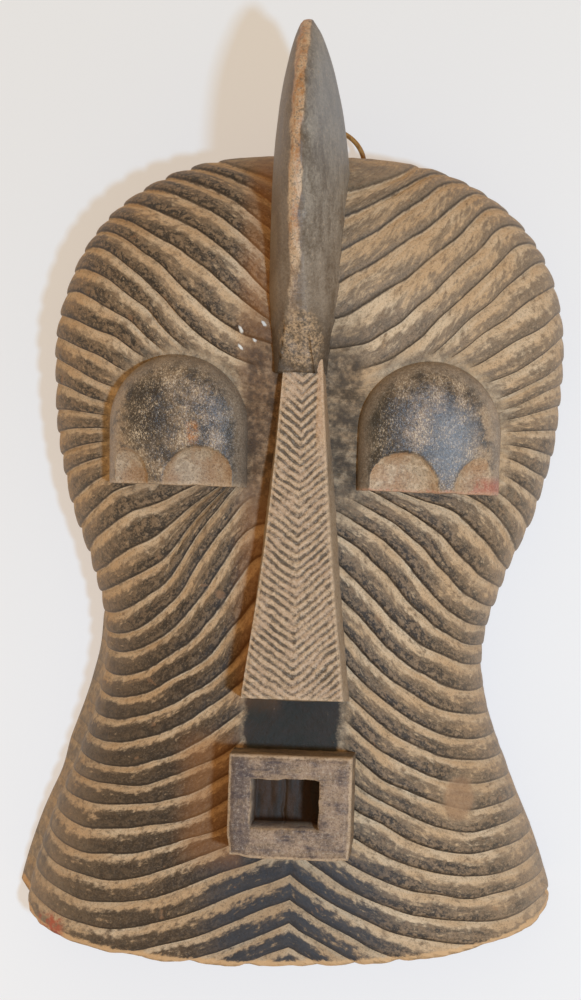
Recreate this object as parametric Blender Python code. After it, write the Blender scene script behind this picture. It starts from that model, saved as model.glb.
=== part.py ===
"""A kifwebe face mask, carved hollow from one block of wood, with a bent cane loop to hang it by.

The mask lies on its back rim, face up. X runs across the face, Y from the chin to the crown and Z out
of the face. While the shapes are made, y = 0 is the line just under the eyes, x = 0 is the middle of
the nose and z = 0 is the plane of the back rim. At the end everything is moved together so that the
middle of the bounding box, at its base, is the origin. The sizes below are in millimetres.
"""

import bmesh
import bpy
import numpy as np
from mathutils import Vector

MM = 0.001

# Head: the plan outline, the height of the face and the rounding between them
CROWN_Y = 201.0
MEASURED_CROWN_Y = 201.0
TEMPLE_Y = 80.0
TEMPLE_HALF_WIDTH = 148.5
CROWN_POWERS = (2.2, 2.65)
CHEEK_SHARES = (
    (TEMPLE_Y, 1.0), (45.0, 0.9859), (0.0, 0.9178), (-45.0, 0.8013), (-70.0, 0.7495), (-90.0, 0.7360),
    (-110.0, 0.7556), (-150.0, 0.8404), (-195.0, 0.9677), (-225.0, 1.0290), (-300.0, 1.1313),
)
LEAN = ((202.0, 0.0), (90.0, -2.6), (0.0, -4.2), (-90.0, -6.2), (-170.0, -5.0), (-300.0, -4.2))
FACE_HEIGHTS = (
    (202.0, 120.0), (119.0, 119.0), (91.0, 117.0), (57.0, 109.0), (12.0, 99.0), (-33.0, 95.0),
    (-83.0, 94.5), (-122.0, 96.6), (-150.0, 97.3), (-211.0, 92.0), (-262.0, 84.5), (-300.0, 78.0),
)
CROWN_ROUND_LENGTH = 84.0
CROWN_ROUND_POWERS = (2.4, 2.0)
SIDE_WALLS = ((202.0, 32.0), (-90.0, 30.0), (-180.0, 18.0), (-262.0, 12.0))
LEFT_FLARE = (
    (202.0, 0.0), (-50.0, 0.0), (-75.0, 7.0), (-105.0, 10.5), (-145.0, 12.0), (-170.0, 9.0), (-225.0, 9.0),
    (-300.0, 7.0),
)
VAULT_POWERS = (2.4, 2.0)

# Hollow back
FACE_WALL = 16.0
RIM_WALL = 14.0
HOLLOW_END_Y = -300.0
HOLLOW_TOP_FADE_Y = 90.0
HOLLOW_SIDE_WALL = 5.6
HOLLOW_BELOW_RIM = 10.0
HOLLOW_SPREAD = 1.7
HOLLOW_STATIONS = 15
HOLLOW_COLUMNS = 7

# Bottom edge: a flat slanting cut, lower at the front of the chin than at the rim
CUT_Y = -225.0
CUT_SLOPE = -0.46
CUT_TILT = 0.05
HEAD_END_SLANT = 2.0

# Flutes: the y of line n in the middle, then at each share of the half width to the left and right
FLUTE_SHARES = (0.0, 0.4, 0.7, 1.0)
FLUTE_LINES = (
    (0, 202.0, (202.0, 202.0, 202.0), (202.0, 202.0, 202.0)),
    (1, 168.0, (185.0, 191.5, 196.5), (180.0, 190.5, 196.0)),
    (2, 148.0, (177.0, 186.0, 191.5), (171.0, 185.0, 190.5)),
    (4, 113.0, (155.0, 171.0, 178.0), (145.0, 168.0, 178.0)),
    (6, 84.0, (127.0, 150.0, 160.0), (106.0, 143.5, 160.5)),
    (8, 77.0, (92.0, 127.0, 141.0), (74.0, 113.0, 142.0)),
    (10, 65.0, (66.0, 99.0, 117.0), (62.0, 82.0, 115.0)),
    (12, 56.0, (55.0, 72.0, 92.0), (53.0, 58.0, 86.0)),
    (14, 47.0, (45.0, 51.0, 67.0), (44.0, 47.0, 59.0)),
    (16, 38.0, (35.0, 37.0, 32.0), (35.0, 36.0, 31.0)),
    (18, 29.0, (25.0, 23.0, 9.0), (25.0, 22.0, 3.0)),
    (20, 22.0, (16.0, 6.0, -21.0), (13.0, 4.0, -25.0)),
    (22, 11.0, (2.0, -22.0, -46.0), (0.0, -24.0, -47.0)),
    (24, -3.0, (-13.0, -52.0, -69.0), (-24.0, -53.0, -69.0)),
    (26, -20.0, (-47.0, -82.0, -91.0), (-57.0, -83.0, -92.0)),
    (28, -46.0, (-83.0, -111.0, -115.0), (-90.0, -114.0, -119.0)),
    (32, -112.0, (-149.0, -166.0, -163.0), (-154.0, -170.0, -167.0)),
    (36, -181.0, (-208.0, -221.0, -209.0), (-214.0, -222.0, -210.0)),
    (40, -239.0, (-266.0, -275.0, -260.0), (-272.0, -278.0, -258.0)),
    (43, -282.0, (-308.0, -312.0, -297.0), (-312.0, -314.0, -297.0)),
)
LEFT_DIVES = (((25.5, 3.2), (-0.2, 0.13), 11.0), ((23.0, 2.4), (-0.58, 0.14), -7.0))
FLUTES = 43
FLUTE_DEPTH = 2.6
FLUTE_LEVEL = 0.25
FLUTE_STEPS = ((0.0, 0.0), (0.34, 0.80), (0.74, 1.0))
FACE_COLUMNS = 9
SIDE_COLUMNS = (0.5, 1.0)
SIDE_RISE = 4.0
SIDE_RISE_FLUTES = (12.0, 20.0)
CROWN_FADE_FLUTES = 1.5
RIM_FADE_Z = 90.0
RIM_STRENGTH = 0.2
PLAIN_EYE_BAND = (-18.5, 6.5, 70.0, 90.0)
PLAIN_BESIDE_NOSE = (24.0, 44.0)
PLAIN_LIP_BAND = (-144.0, -138.0, -108.0, -100.0)
PLAIN_LIP_HALF_WIDTHS = (27.0, 33.0)

# Crest: a comb that rises from the bridge of the nose and curves over the crown
CREST_RIDGE = (
    (70.0, 123.5), (90.0, 133.0), (110.0, 144.0), (135.0, 153.5), (160.0, 163.0), (186.0, 167.5),
    (212.0, 163.5), (236.0, 150.0), (255.0, 132.0), (265.5, 112.0), (263.0, 90.0), (250.0, 68.0),
    (230.0, 50.0), (206.0, 40.0),
)
CREST_HEART = (
    (70.0, 104.0), (90.0, 106.0), (110.0, 107.0), (130.0, 106.0), (148.0, 102.0), (160.0, 97.0),
    (168.0, 92.0), (173.0, 87.0), (176.0, 82.0), (178.0, 76.0), (180.0, 69.0), (182.0, 62.0),
    (185.0, 55.0), (188.0, 48.0),
)
CREST_HALF_WIDTHS = ((0.0, 15.0), (0.08, 18.0), (0.2, 20.5), (0.6, 21.0), (0.85, 17.0), (1.0, 10.0))
CREST_RIDGE_HALF_WIDTHS = ((0.0, 10.5), (0.08, 7.5), (0.2, 4.2), (0.35, 3.7), (1.0, 3.7))
CREST_SHAPE_POWER = 0.8
CREST_LEAN = -3.5
CREST_PEAK = 0.02
CREST_STATIONS = 24
CREST_RISES = (0.0, 0.3, 0.55, 0.75, 0.9, 1.0)

# Nose: a long flaring wedge with a flat front of chevron strokes
NOSE_TOP_Y = 78.0
NOSE_TIP_Y = -109.5
NOSE_HALF_WIDTHS = ((90.0, 10.0), (70.0, 11.0), (-22.0, 17.9), (-109.5, 28.0), (-140.0, 31.4))
NOSE_FRONTS = ((90.0, 122.5), (70.0, 122.5), (20.0, 119.5), (-22.0, 120.0), (-70.0, 124.5), (-140.0, 133.0))
NOSE_DRAFT = 4.0
NOSE_FLOOR = 78.0
NOSE_RUN_ON = 40.0
CHEVRON_PITCH = 4.9
CHEVRON_SLOPE = 0.75
CHEVRON_DEPTH = 1.1

# Eyes: hoods with an arched top and a flat lower edge, scooped twice along that edge
EYE_X = 70.5
EYE_HALF_WIDTH = 39.5
EYE_BOTTOM_Y = 6.5
EYE_ARCH_Y = 40.0
EYE_EDGE_Z = 93.0
EYE_RISE = 20.5
EYE_TILT = 0.12
EYE_CLIMB = 0.17
EYE_FLOOR_Z = 68.0
EYE_POWERS = (3.0, 2.0)
EYE_ARCH_SIDES = 12
EYE_STRAIGHT_SIDES = 3
EYE_RINGS = (0.0, 0.45, 0.72, 0.88, 0.97, 1.0)
SCOOPS = ((-14.0, (21.0, 21.5, 9.0)), (31.0, (16.5, 20.5, 9.0)))
SCOOP_TURN_SIDES = 16
SCOOP_RINGS = 8

# Mouth: a box with a blind rectangular recess
MOUTH_LEFT = -33.0
MOUTH_RIGHT = 34.5
MOUTH_TOP_Y = -140.5
MOUTH_BOTTOM_Y = -197.0
MOUTH_FRONT_Z = 131.0
MOUTH_FLOOR_Z = 85.0
MOUTH_EDGE_ROUND = 2.2
RECESS_LEFT = -20.5
RECESS_RIGHT = 17.0
RECESS_TOP_Y = -153.3
RECESS_BOTTOM_Y = -180.3
RECESS_DEPTH = 35.0
RECESS_TOOL_OVER = 5.0

# Hanging loop
CANE_RADIUS = 1.5
LOOP_HALF_WIDTH = 25.5
LOOP_RISE = 21.5
LOOP_Z = 20.0
LOOP_HOLE_CLEARANCE = 0.3
LOOP_HOLE_SIDES = 12
LOOP_KNOT_RADIUS = 3.4
LOOP_KNOT_GAP = 4.0
LOOP_KNOT_TURNS = (0.1, 0.3, 0.5, 0.7)
LOOP_ROOT_DEPTH = 2.0
LOOP_HOLE_RUN_IN = 17.0
LOOP_HOLE_RUN_OUT = 4.0
LOOP_ARC_STEPS = 14
LOOP_SIDES = 6

WOOD_COLOUR = (0.23, 0.17, 0.115, 1.0)
CANE_COLOUR = (0.26, 0.13, 0.04, 1.0)


def smooth(points, at):
    """The value at each place of a curve through (place, value) points that never overshoots them."""
    place, value = np.array(sorted(points), dtype=float).T
    step = np.diff(place)
    slope = np.diff(value) / step
    tangent = np.zeros_like(place)
    before, after = slope[:-1], slope[1:]
    same_way = before * after > 0.0
    tangent[1:-1][same_way] = 2.0 * (before * after)[same_way] / (before + after)[same_way]
    tangent[0], tangent[-1] = slope[0], slope[-1]
    at = np.clip(np.asarray(at, dtype=float), place[0], place[-1])
    index = np.clip(np.searchsorted(place, at) - 1, 0, len(step) - 1)
    t = (at - place[index]) / step[index]
    start = (1.0 + 2.0 * t) * (1.0 - t) ** 2 * value[index]
    end = t ** 2 * (3.0 - 2.0 * t) * value[index + 1]
    leave = t * (1.0 - t) ** 2 * step[index] * tangent[index]
    arrive = t ** 2 * (t - 1.0) * step[index] * tangent[index + 1]
    return start + end + leave + arrive


def fade(value, low, high):
    """A smooth step from 0 at low to 1 at high."""
    t = np.clip((np.asarray(value, dtype=float) - low) / (high - low), 0.0, 1.0)
    return t * t * (3.0 - 2.0 * t)


def spread_up(y):
    """Places above the temples, spread evenly up to the crown; they were measured on a crown at a known height."""
    share = (CROWN_Y - TEMPLE_Y) / (MEASURED_CROWN_Y - TEMPLE_Y)
    return np.where(y > TEMPLE_Y, TEMPLE_Y + (y - TEMPLE_Y) * share, y)


def half_width(y):
    """Half the width of the head at y: an oval dome above the temples, a waisted curve below."""
    rise = np.clip((y - TEMPLE_Y) / (CROWN_Y - TEMPLE_Y), 0.0, 1.0)
    across, up = CROWN_POWERS
    dome = TEMPLE_HALF_WIDTH * (1.0 - rise ** across) ** (1.0 / up)
    return np.where(y > TEMPLE_Y, dome, TEMPLE_HALF_WIDTH * smooth(CHEEK_SHARES, y))


def face_height(y):
    """Height of the middle of the face above the rim plane, falling in a round curve at the crown."""
    side = smooth(SIDE_WALLS, y)
    start = CROWN_Y - CROWN_ROUND_LENGTH
    share = np.clip((y - start) / CROWN_ROUND_LENGTH, 0.0, 1.0)
    along, up = CROWN_ROUND_POWERS
    return side + (smooth(FACE_HEIGHTS, y) - side) * (1.0 - share ** along) ** (1.0 / up)


def vault(share):
    """Height of the vaulted face as a share of its middle height, at this share of the half width."""
    across, up = VAULT_POWERS
    return (1.0 - np.abs(share) ** across) ** (1.0 / up)


def flute_line(number, share):
    """The y of flute line `number` at this share of the half width, negative on the left."""
    numbers = [line[0] for line in FLUTE_LINES]
    middles = [line[1] for line in FLUTE_LINES]
    sides = []
    for side in (2, 3):
        columns = [middles] + list(zip(*(line[side] for line in FLUTE_LINES)))
        heights = [smooth(list(zip(numbers, column)), number) for column in columns]
        total = 0.0
        for i, height in enumerate(heights):
            weight = 1.0
            for j, other in enumerate(FLUTE_SHARES):
                if j != i:
                    weight = weight * (np.abs(share) - other) / (FLUTE_SHARES[i] - other)
            total = total + height * weight
        sides.append(total)
    left = sides[0]
    for (middle, flutes), (at, wide), rise in LEFT_DIVES:
        left = left + rise * np.exp(-((number - middle) / flutes) ** 2 - ((share - at) / wide) ** 2)
    return spread_up(np.where(share < 0.0, left, sides[1]))


def flute_strength(number, points):
    """How deep the flutes are cut: full on the cheeks and none where the wood is left plain."""
    x, y, z = np.moveaxis(points, -1, 0)
    beside_nose = fade(np.abs(x), *PLAIN_BESIDE_NOSE)
    eye_band = fade(y, *PLAIN_EYE_BAND[:2]) * (1.0 - fade(y, *PLAIN_EYE_BAND[2:]))
    lip = fade(y, *PLAIN_LIP_BAND[:2]) * (1.0 - fade(y, *PLAIN_LIP_BAND[2:]))
    lip = lip * (1.0 - fade(np.abs(x), *PLAIN_LIP_HALF_WIDTHS))
    crown = fade(number, 0.0, CROWN_FADE_FLUTES)
    rim = RIM_STRENGTH + (1.0 - RIM_STRENGTH) * fade(z, 0.0, RIM_FADE_Z)
    return (1.0 - eye_band * (1.0 - beside_nose)) * (1.0 - lip) * crown * rim


def normals_of(grid):
    """The unit outward normal at each point of a grid of points, from its neighbours along and across."""
    along = np.gradient(grid, axis=0)
    across = np.gradient(grid, axis=1)
    normal = np.cross(along, across)
    length = np.linalg.norm(normal, axis=-1, keepdims=True)
    return normal / np.maximum(length, 1e-9)


def face_grid():
    """The fluted outer skin as a grid: one row for each flute step, one column for each share across."""
    numbers, bumps = [], []
    for flute in range(FLUTES):
        for step, bump in FLUTE_STEPS:
            numbers.append(flute + step)
            bumps.append(bump)
    numbers = np.array(numbers)[:, None]
    bumps = np.array(bumps)[:, None]
    turn = np.linspace(-1.0, 1.0, 2 * FACE_COLUMNS + 1)[None, :]
    share = np.sin(0.5 * np.pi * turn)
    y = flute_line(numbers, share)
    x = half_width(y) * share + smooth(LEAN, y) * share ** 2
    side = smooth(SIDE_WALLS, y)
    z = side + (face_height(y) - side) * vault(share)
    left, right = [], []
    for drop in SIDE_COLUMNS:
        side_y = y[:, [0, -1]] + SIDE_RISE * drop * fade(numbers, *SIDE_RISE_FLUTES)
        edge = half_width(side_y) * np.array([[-1.0, 1.0]]) + smooth(LEAN, side_y)
        edge[:, 0] -= smooth(LEFT_FLARE, side_y[:, 0]) * drop
        side_z = smooth(SIDE_WALLS, side_y) * (1.0 - drop)
        left.insert(0, np.stack([edge[:, 0], side_y[:, 0], side_z[:, 0]], axis=-1))
        right.append(np.stack([edge[:, 1], side_y[:, 1], side_z[:, 1]], axis=-1))
    middle = np.stack([x, y, z], axis=-1)
    grid = np.concatenate([np.stack(left, axis=1), middle, np.stack(right, axis=1)], axis=1)
    height = FLUTE_DEPTH * (bumps - FLUTE_LEVEL) * flute_strength(numbers, grid)
    moved = normals_of(grid) * height[..., None]
    moved[:, [0, -1], 2] = 0.0
    return grid + moved


def add_grid(shape, grid, flip=False):
    """Add a grid of points to a bmesh as quads and return its rows of vertices."""
    rows = [[shape.verts.new(Vector(point) * MM) for point in row] for row in grid]
    for first, second in zip(rows, rows[1:]):
        for i in range(len(first) - 1):
            corners = (first[i], second[i], second[i + 1], first[i + 1])
            shape.faces.new(reversed(corners) if flip else corners)
    return rows


def finish_shape(name, shape):
    """Weld, tidy and orient a closed bmesh, and return it as an object."""
    bmesh.ops.remove_doubles(shape, verts=shape.verts, dist=0.005 * MM)
    bmesh.ops.dissolve_degenerate(shape, edges=shape.edges, dist=0.002 * MM)
    bmesh.ops.triangulate(shape, faces=shape.faces)
    bmesh.ops.recalc_face_normals(shape, faces=shape.faces)
    mesh = bpy.data.meshes.new(name)
    shape.to_mesh(mesh)
    shape.free()
    made = bpy.data.objects.new(name, mesh)
    bpy.context.scene.collection.objects.link(made)
    return made


def hide_tool(tool):
    """Mark a shape that is only joined to the carving or cut out of it."""
    tool.hide_render = True
    tool.display_type = "WIRE"
    return tool


def combine(target, tool, operation):
    """Join a hidden shape to the target, or cut it away."""
    change = target.modifiers.new(f"{operation.lower()} {tool.name}", "BOOLEAN")
    change.operation = operation
    change.solver = "EXACT"
    change.object = hide_tool(tool)


def make_head():
    """The outer form with its flutes, closed by a flat back and a flat end past the chin."""
    grid = face_grid()
    end = grid[-1].copy()
    end[:, 2] = 0.0
    end[:, 1] -= HEAD_END_SLANT
    grid = np.concatenate([grid, end[None]], axis=0)
    shape = bmesh.new()
    rows = add_grid(shape, grid, flip=True)
    outline = [row[0] for row in rows] + rows[-1][1:-1] + [row[-1] for row in reversed(rows)]
    shape.faces.new(outline)
    return finish_shape("mask", shape)


def make_hollow():
    """The hollow behind the face: the same form, smaller by the walls, open at the back and the chin."""
    top = CROWN_Y - RIM_WALL
    turn = np.linspace(0.0, 1.0, HOLLOW_STATIONS)[:, None]
    y = top - (top - HOLLOW_END_Y) * turn ** HOLLOW_SPREAD
    near_top = fade(y, HOLLOW_TOP_FADE_Y, top)
    width = half_width(y + RIM_WALL * near_top) - RIM_WALL * (1.0 - near_top)
    middle = face_height(y + RIM_WALL * near_top) - FACE_WALL * (1.0 - near_top)
    side = smooth(SIDE_WALLS, y) - HOLLOW_SIDE_WALL
    share = np.sin(0.5 * np.pi * np.linspace(-1.0, 1.0, 2 * HOLLOW_COLUMNS + 1))[None, :]
    x = width * share + smooth(LEAN, y) * share ** 2
    z = side + np.maximum(middle - side, 0.0) * vault(share)
    dome = np.stack([x, y + 0.0 * share, z], axis=-1)
    low = dome[:, [0, -1]].copy()
    low[..., 2] = -HOLLOW_BELOW_RIM
    grid = np.concatenate([low[:, :1], dome, low[:, 1:]], axis=1)
    shape = bmesh.new()
    rows = add_grid(shape, grid)
    shape.faces.new(rows[-1])
    shape.faces.new([row[0] for row in rows] + [row[-1] for row in reversed(rows)])
    return finish_shape("hollow", shape)


def make_crest():
    """The comb: sections from the heart of the head out to the ridge, round in between."""
    turn = np.linspace(0.0, 1.0, CREST_STATIONS)
    known = np.linspace(0.0, 1.0, len(CREST_RIDGE))
    ridge = np.stack([smooth(list(zip(known, axis)), turn) for axis in zip(*CREST_RIDGE)], axis=-1)
    heart = np.stack([smooth(list(zip(known, axis)), turn) for axis in zip(*CREST_HEART)], axis=-1)
    ridge[:, 0], heart[:, 0] = spread_up(ridge[:, 0]), spread_up(heart[:, 0])
    base = smooth(CREST_HALF_WIDTHS, turn)
    edge = smooth(CREST_RIDGE_HALF_WIDTHS, turn)
    rise = np.array(CREST_RISES)
    spread = edge[:, None] + (base - edge)[:, None] * (1.0 - rise[None, :] ** 2) ** CREST_SHAPE_POWER
    along = heart[:, None, :] + (ridge - heart)[:, None, :] * rise[None, :, None]
    right = np.concatenate([spread[..., None], along], axis=-1)
    leant = np.array([1.0, 0.0, 0.0]) * CREST_LEAN * rise[None, :, None]
    crown = along[:, -1:] + (ridge - heart)[:, None, :] * CREST_PEAK
    crown = np.concatenate([np.zeros_like(crown[..., :1]), crown], axis=-1)
    crown[..., 0] = CREST_LEAN
    left = right[:, ::-1] * np.array([-1.0, 1.0, 1.0]) + leant[:, ::-1]
    grid = np.concatenate([right + leant, crown, left], axis=1)
    shape = bmesh.new()
    rows = add_grid(shape, grid)
    shape.faces.new(rows[0])
    shape.faces.new(rows[-1])
    for first, second in zip(rows, rows[1:]):
        shape.faces.new((first[0], second[0], second[-1], first[-1]))
    return finish_shape("crest", shape)


def make_nose():
    """The nose: chevron ridges and grooves across a flat flaring front, cut square at both ends."""
    strokes = int((NOSE_TOP_Y - NOSE_TIP_Y + NOSE_RUN_ON) / CHEVRON_PITCH)
    rows = []
    for step in range(2 * strokes):
        low = NOSE_TOP_Y - 0.5 * CHEVRON_PITCH * step
        wide = float(smooth(NOSE_HALF_WIDTHS, low))
        high = low + CHEVRON_SLOPE * wide
        side = float(smooth(NOSE_HALF_WIDTHS, high))
        sink = CHEVRON_DEPTH * (step % 2)
        edge_z = float(smooth(NOSE_FRONTS, high))
        rows.append((
            (-side - NOSE_DRAFT, high, NOSE_FLOOR),
            (-side, high, edge_z - sink),
            (0.0, low, float(smooth(NOSE_FRONTS, low)) - sink),
            (side, high, edge_z - sink),
            (side + NOSE_DRAFT, high, NOSE_FLOOR),
        ))
    shape = bmesh.new()
    made = add_grid(shape, rows)
    for row in (made[0], made[-1]):
        shape.faces.new((row[0], row[1], row[2], row[3], row[4]))
    for first, second in zip(made, made[1:]):
        shape.faces.new((first[0], second[0], second[4], first[4]))
    for place, outward in ((NOSE_TIP_Y, -1.0), (NOSE_TOP_Y, 1.0)):
        cut_square(shape, place, outward)
    return finish_shape("nose", shape)


def cut_square(shape, y, outward):
    """Cut a closed bmesh off flat at y and close it again."""
    everything = list(shape.verts) + list(shape.edges) + list(shape.faces)
    cut = bmesh.ops.bisect_plane(
        shape, geom=everything, dist=0.001 * MM, plane_co=(0.0, y * MM, 0.0),
        plane_no=(0.0, outward, 0.0), clear_outer=True,
    )
    edges = [item for item in cut["geom_cut"] if isinstance(item, bmesh.types.BMEdge)]
    bmesh.ops.edgenet_fill(shape, edges=edges)


def make_eye(side):
    """One eye hood; side is -1 for the left of the picture and 1 for the right."""
    arch = np.linspace(-0.5 * np.pi, 0.5 * np.pi, EYE_ARCH_SIDES + 1)
    straight = np.linspace(EYE_BOTTOM_Y, EYE_ARCH_Y, EYE_STRAIGHT_SIDES + 1)[:-1]
    rim_x = np.concatenate([-np.ones_like(straight), np.sin(arch), np.ones_like(straight)]) * EYE_HALF_WIDTH
    rim_y = np.concatenate([straight, EYE_ARCH_Y + EYE_HALF_WIDTH * np.cos(arch), straight[::-1]])
    spine_y = np.minimum(rim_y, EYE_ARCH_Y)
    ring = np.array(EYE_RINGS)[None, :]
    along, up = EYE_POWERS
    x = rim_x[:, None] * ring
    y = spine_y[:, None] + (rim_y - spine_y)[:, None] * ring
    edge_z = EYE_EDGE_Z + EYE_CLIMB * (y - EYE_BOTTOM_Y) - EYE_TILT * x
    z = edge_z + EYE_RISE * (1.0 - ring ** along) ** (1.0 / up)
    dome = np.stack([side * (EYE_X + x), y, z], axis=-1)
    floor = dome[:, -1:].copy()
    floor[..., 2] = EYE_FLOOR_Z
    grid = np.concatenate([dome, floor], axis=1)
    shape = bmesh.new()
    rows = add_grid(shape, grid)
    shape.faces.new([row[-1] for row in rows])
    shape.faces.new(rows[0][::-1] + rows[-1][1:])
    hood = finish_shape("eye_left" if side < 0 else "eye_right", shape)
    for offset, radii in SCOOPS:
        combine(hood, make_scoop(side, offset, radii), "DIFFERENCE")
    return hood


def make_scoop(side, offset, radii):
    """An egg-shaped gouge, centred on the lower edge of an eye."""
    shape = bmesh.new()
    bmesh.ops.create_uvsphere(shape, u_segments=SCOOP_TURN_SIDES, v_segments=SCOOP_RINGS, radius=1.0)
    middle = (side * (EYE_X + offset), EYE_BOTTOM_Y, EYE_EDGE_Z + EYE_RISE - EYE_TILT * offset)
    for vert in shape.verts:
        vert.co = Vector([place + size * unit for place, size, unit in zip(middle, radii, vert.co)]) * MM
    return finish_shape("scoop", shape)


def make_box(name, low, high):
    """A box between two corners."""
    shape = bmesh.new()
    bmesh.ops.create_cube(shape, size=1.0)
    low, high = Vector(low), Vector(high)
    for vert in shape.verts:
        share = vert.co + Vector((0.5, 0.5, 0.5))
        vert.co = Vector([a + (b - a) * t for a, b, t in zip(low, high, share)]) * MM
    return finish_shape(name, shape)


def make_mouth():
    """The mouth box with worn front edges and its blind recess."""
    shape = bmesh.new()
    bmesh.ops.create_cube(shape, size=1.0)
    low = (MOUTH_LEFT, MOUTH_BOTTOM_Y, MOUTH_FLOOR_Z)
    high = (MOUTH_RIGHT, MOUTH_TOP_Y, MOUTH_FRONT_Z)
    for vert in shape.verts:
        vert.co = Vector([a + (b - a) * (t + 0.5) for a, b, t in zip(low, high, vert.co)]) * MM
    worn = [edge for edge in shape.edges if max(vert.co.z for vert in edge.verts) > MOUTH_FLOOR_Z * MM + 1e-6]
    bmesh.ops.bevel(shape, geom=worn, offset=MOUTH_EDGE_ROUND * MM, segments=2, profile=0.5, affect="EDGES")
    box = finish_shape("mouth", shape)
    recess = make_box(
        "recess",
        (RECESS_LEFT, RECESS_BOTTOM_Y, MOUTH_FRONT_Z - RECESS_DEPTH),
        (RECESS_RIGHT, RECESS_TOP_Y, MOUTH_FRONT_Z + RECESS_TOOL_OVER),
    )
    return box, recess


def make_cut():
    """What is sawn off below the slanting bottom edge."""
    reach = CROWN_Y - HOLLOW_END_Y
    block = make_box("bottom_cut", (-reach, CUT_Y - reach, -reach), (reach, CUT_Y, reach))
    for vert in block.data.vertices:
        vert.co.y += CUT_SLOPE * vert.co.z + CUT_TILT * vert.co.x
    return block


def loop_path():
    """Points of the cane's middle and its radius there: knot, hole, arc, hole, knot."""
    wall_out = CROWN_Y - LOOP_ROOT_DEPTH
    knot_y = CROWN_Y - RIM_WALL - LOOP_KNOT_GAP - LOOP_KNOT_RADIUS
    path = []
    for turn in LOOP_KNOT_TURNS:
        swell = LOOP_KNOT_RADIUS * np.sin(np.pi * turn)
        path.append((LOOP_HALF_WIDTH, knot_y - LOOP_KNOT_RADIUS * np.cos(np.pi * turn), max(swell, CANE_RADIUS)))
    path.append((LOOP_HALF_WIDTH, knot_y + LOOP_KNOT_RADIUS, CANE_RADIUS))
    for angle in np.linspace(0.0, 0.5 * np.pi, LOOP_ARC_STEPS // 2 + 1):
        path.append((LOOP_HALF_WIDTH * np.cos(angle), wall_out + LOOP_RISE * np.sin(angle), CANE_RADIUS))
    mirrored = [(-x, y, radius) for x, y, radius in reversed(path[:-1])]
    return np.array(path + mirrored)


def make_loop():
    """The bent cane as one tube with a swollen knot at each end."""
    path = loop_path()
    place = path[:, :2]
    along = np.gradient(place, axis=0)
    along /= np.linalg.norm(along, axis=1, keepdims=True)
    across = np.stack([along[:, 1], -along[:, 0]], axis=-1)
    angle = np.linspace(0.0, 2.0 * np.pi, LOOP_SIDES, endpoint=False)
    shape = bmesh.new()
    rings = []
    for (x, y, radius), (out_x, out_y) in zip(path, across):
        ring = [
            Vector((x + radius * np.cos(a) * out_x, y + radius * np.cos(a) * out_y, LOOP_Z + radius * np.sin(a)))
            for a in angle
        ]
        rings.append([shape.verts.new(point * MM) for point in ring])
    for first, second in zip(rings, rings[1:]):
        for i in range(LOOP_SIDES):
            j = (i + 1) % LOOP_SIDES
            shape.faces.new((first[i], first[j], second[j], second[i]))
    shape.faces.new(rings[0])
    shape.faces.new(rings[-1])
    return finish_shape("hanging_loop", shape)


def make_loop_hole(side):
    """The drill for one hole in the crown wall."""
    radius = CANE_RADIUS + LOOP_HOLE_CLEARANCE
    radius /= np.cos(np.pi / LOOP_HOLE_SIDES)
    shape = bmesh.new()
    start, end = CROWN_Y - RIM_WALL - LOOP_HOLE_RUN_IN, CROWN_Y + LOOP_HOLE_RUN_OUT
    rings = []
    for y in (start, end):
        ring = []
        for a in np.linspace(0.0, 2.0 * np.pi, LOOP_HOLE_SIDES, endpoint=False):
            point = Vector((side * LOOP_HALF_WIDTH + radius * np.cos(a), y, LOOP_Z + radius * np.sin(a)))
            ring.append(shape.verts.new(point * MM))
        rings.append(ring)
    for i in range(LOOP_HOLE_SIDES):
        j = (i + 1) % LOOP_HOLE_SIDES
        shape.faces.new((rings[0][i], rings[0][j], rings[1][j], rings[1][i]))
    shape.faces.new(rings[0])
    shape.faces.new(rings[1])
    return finish_shape("loop_hole", shape)


def make_material(name, colour, roughness):
    """A plain material of one colour."""
    made = bpy.data.materials.new(name)
    made.use_nodes = True
    surface = made.node_tree.nodes["Principled BSDF"]
    surface.inputs["Base Color"].default_value = colour
    surface.inputs["Roughness"].default_value = roughness
    return made


def move_to_origin(pieces):
    """Move every object so that the middle of the pieces' box, at its base, is the origin."""
    depsgraph = bpy.context.evaluated_depsgraph_get()
    corners = []
    for piece in pieces:
        mesh = piece.evaluated_get(depsgraph).to_mesh()
        corners += [piece.matrix_world @ vert.co for vert in mesh.vertices]
    corners = np.array(corners)
    low, high = corners.min(axis=0), corners.max(axis=0)
    shift = Vector((-0.5 * (low[0] + high[0]), -0.5 * (low[1] + high[1]), -low[2]))
    for item in bpy.data.objects:
        item.location += shift


def main():
    """Carve the mask and bend the loop."""
    for item in list(bpy.data.objects):
        bpy.data.objects.remove(item)
    mask = make_head()
    combine(mask, make_crest(), "UNION")
    combine(mask, make_nose(), "UNION")
    for side in (-1.0, 1.0):
        combine(mask, make_eye(side), "UNION")
    box, recess = make_mouth()
    combine(mask, box, "UNION")
    combine(mask, recess, "DIFFERENCE")
    combine(mask, make_hollow(), "DIFFERENCE")
    combine(mask, make_cut(), "DIFFERENCE")
    for side in (-1.0, 1.0):
        combine(mask, make_loop_hole(side), "DIFFERENCE")
    loop = make_loop()
    mask.data.materials.append(make_material("carved wood", WOOD_COLOUR, 0.6))
    loop.data.materials.append(make_material("cane", CANE_COLOUR, 0.35))
    loop.data.shade_smooth()
    bpy.context.view_layer.update()
    move_to_origin([mask, loop])


if __name__ == "__main__":
    main()
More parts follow.
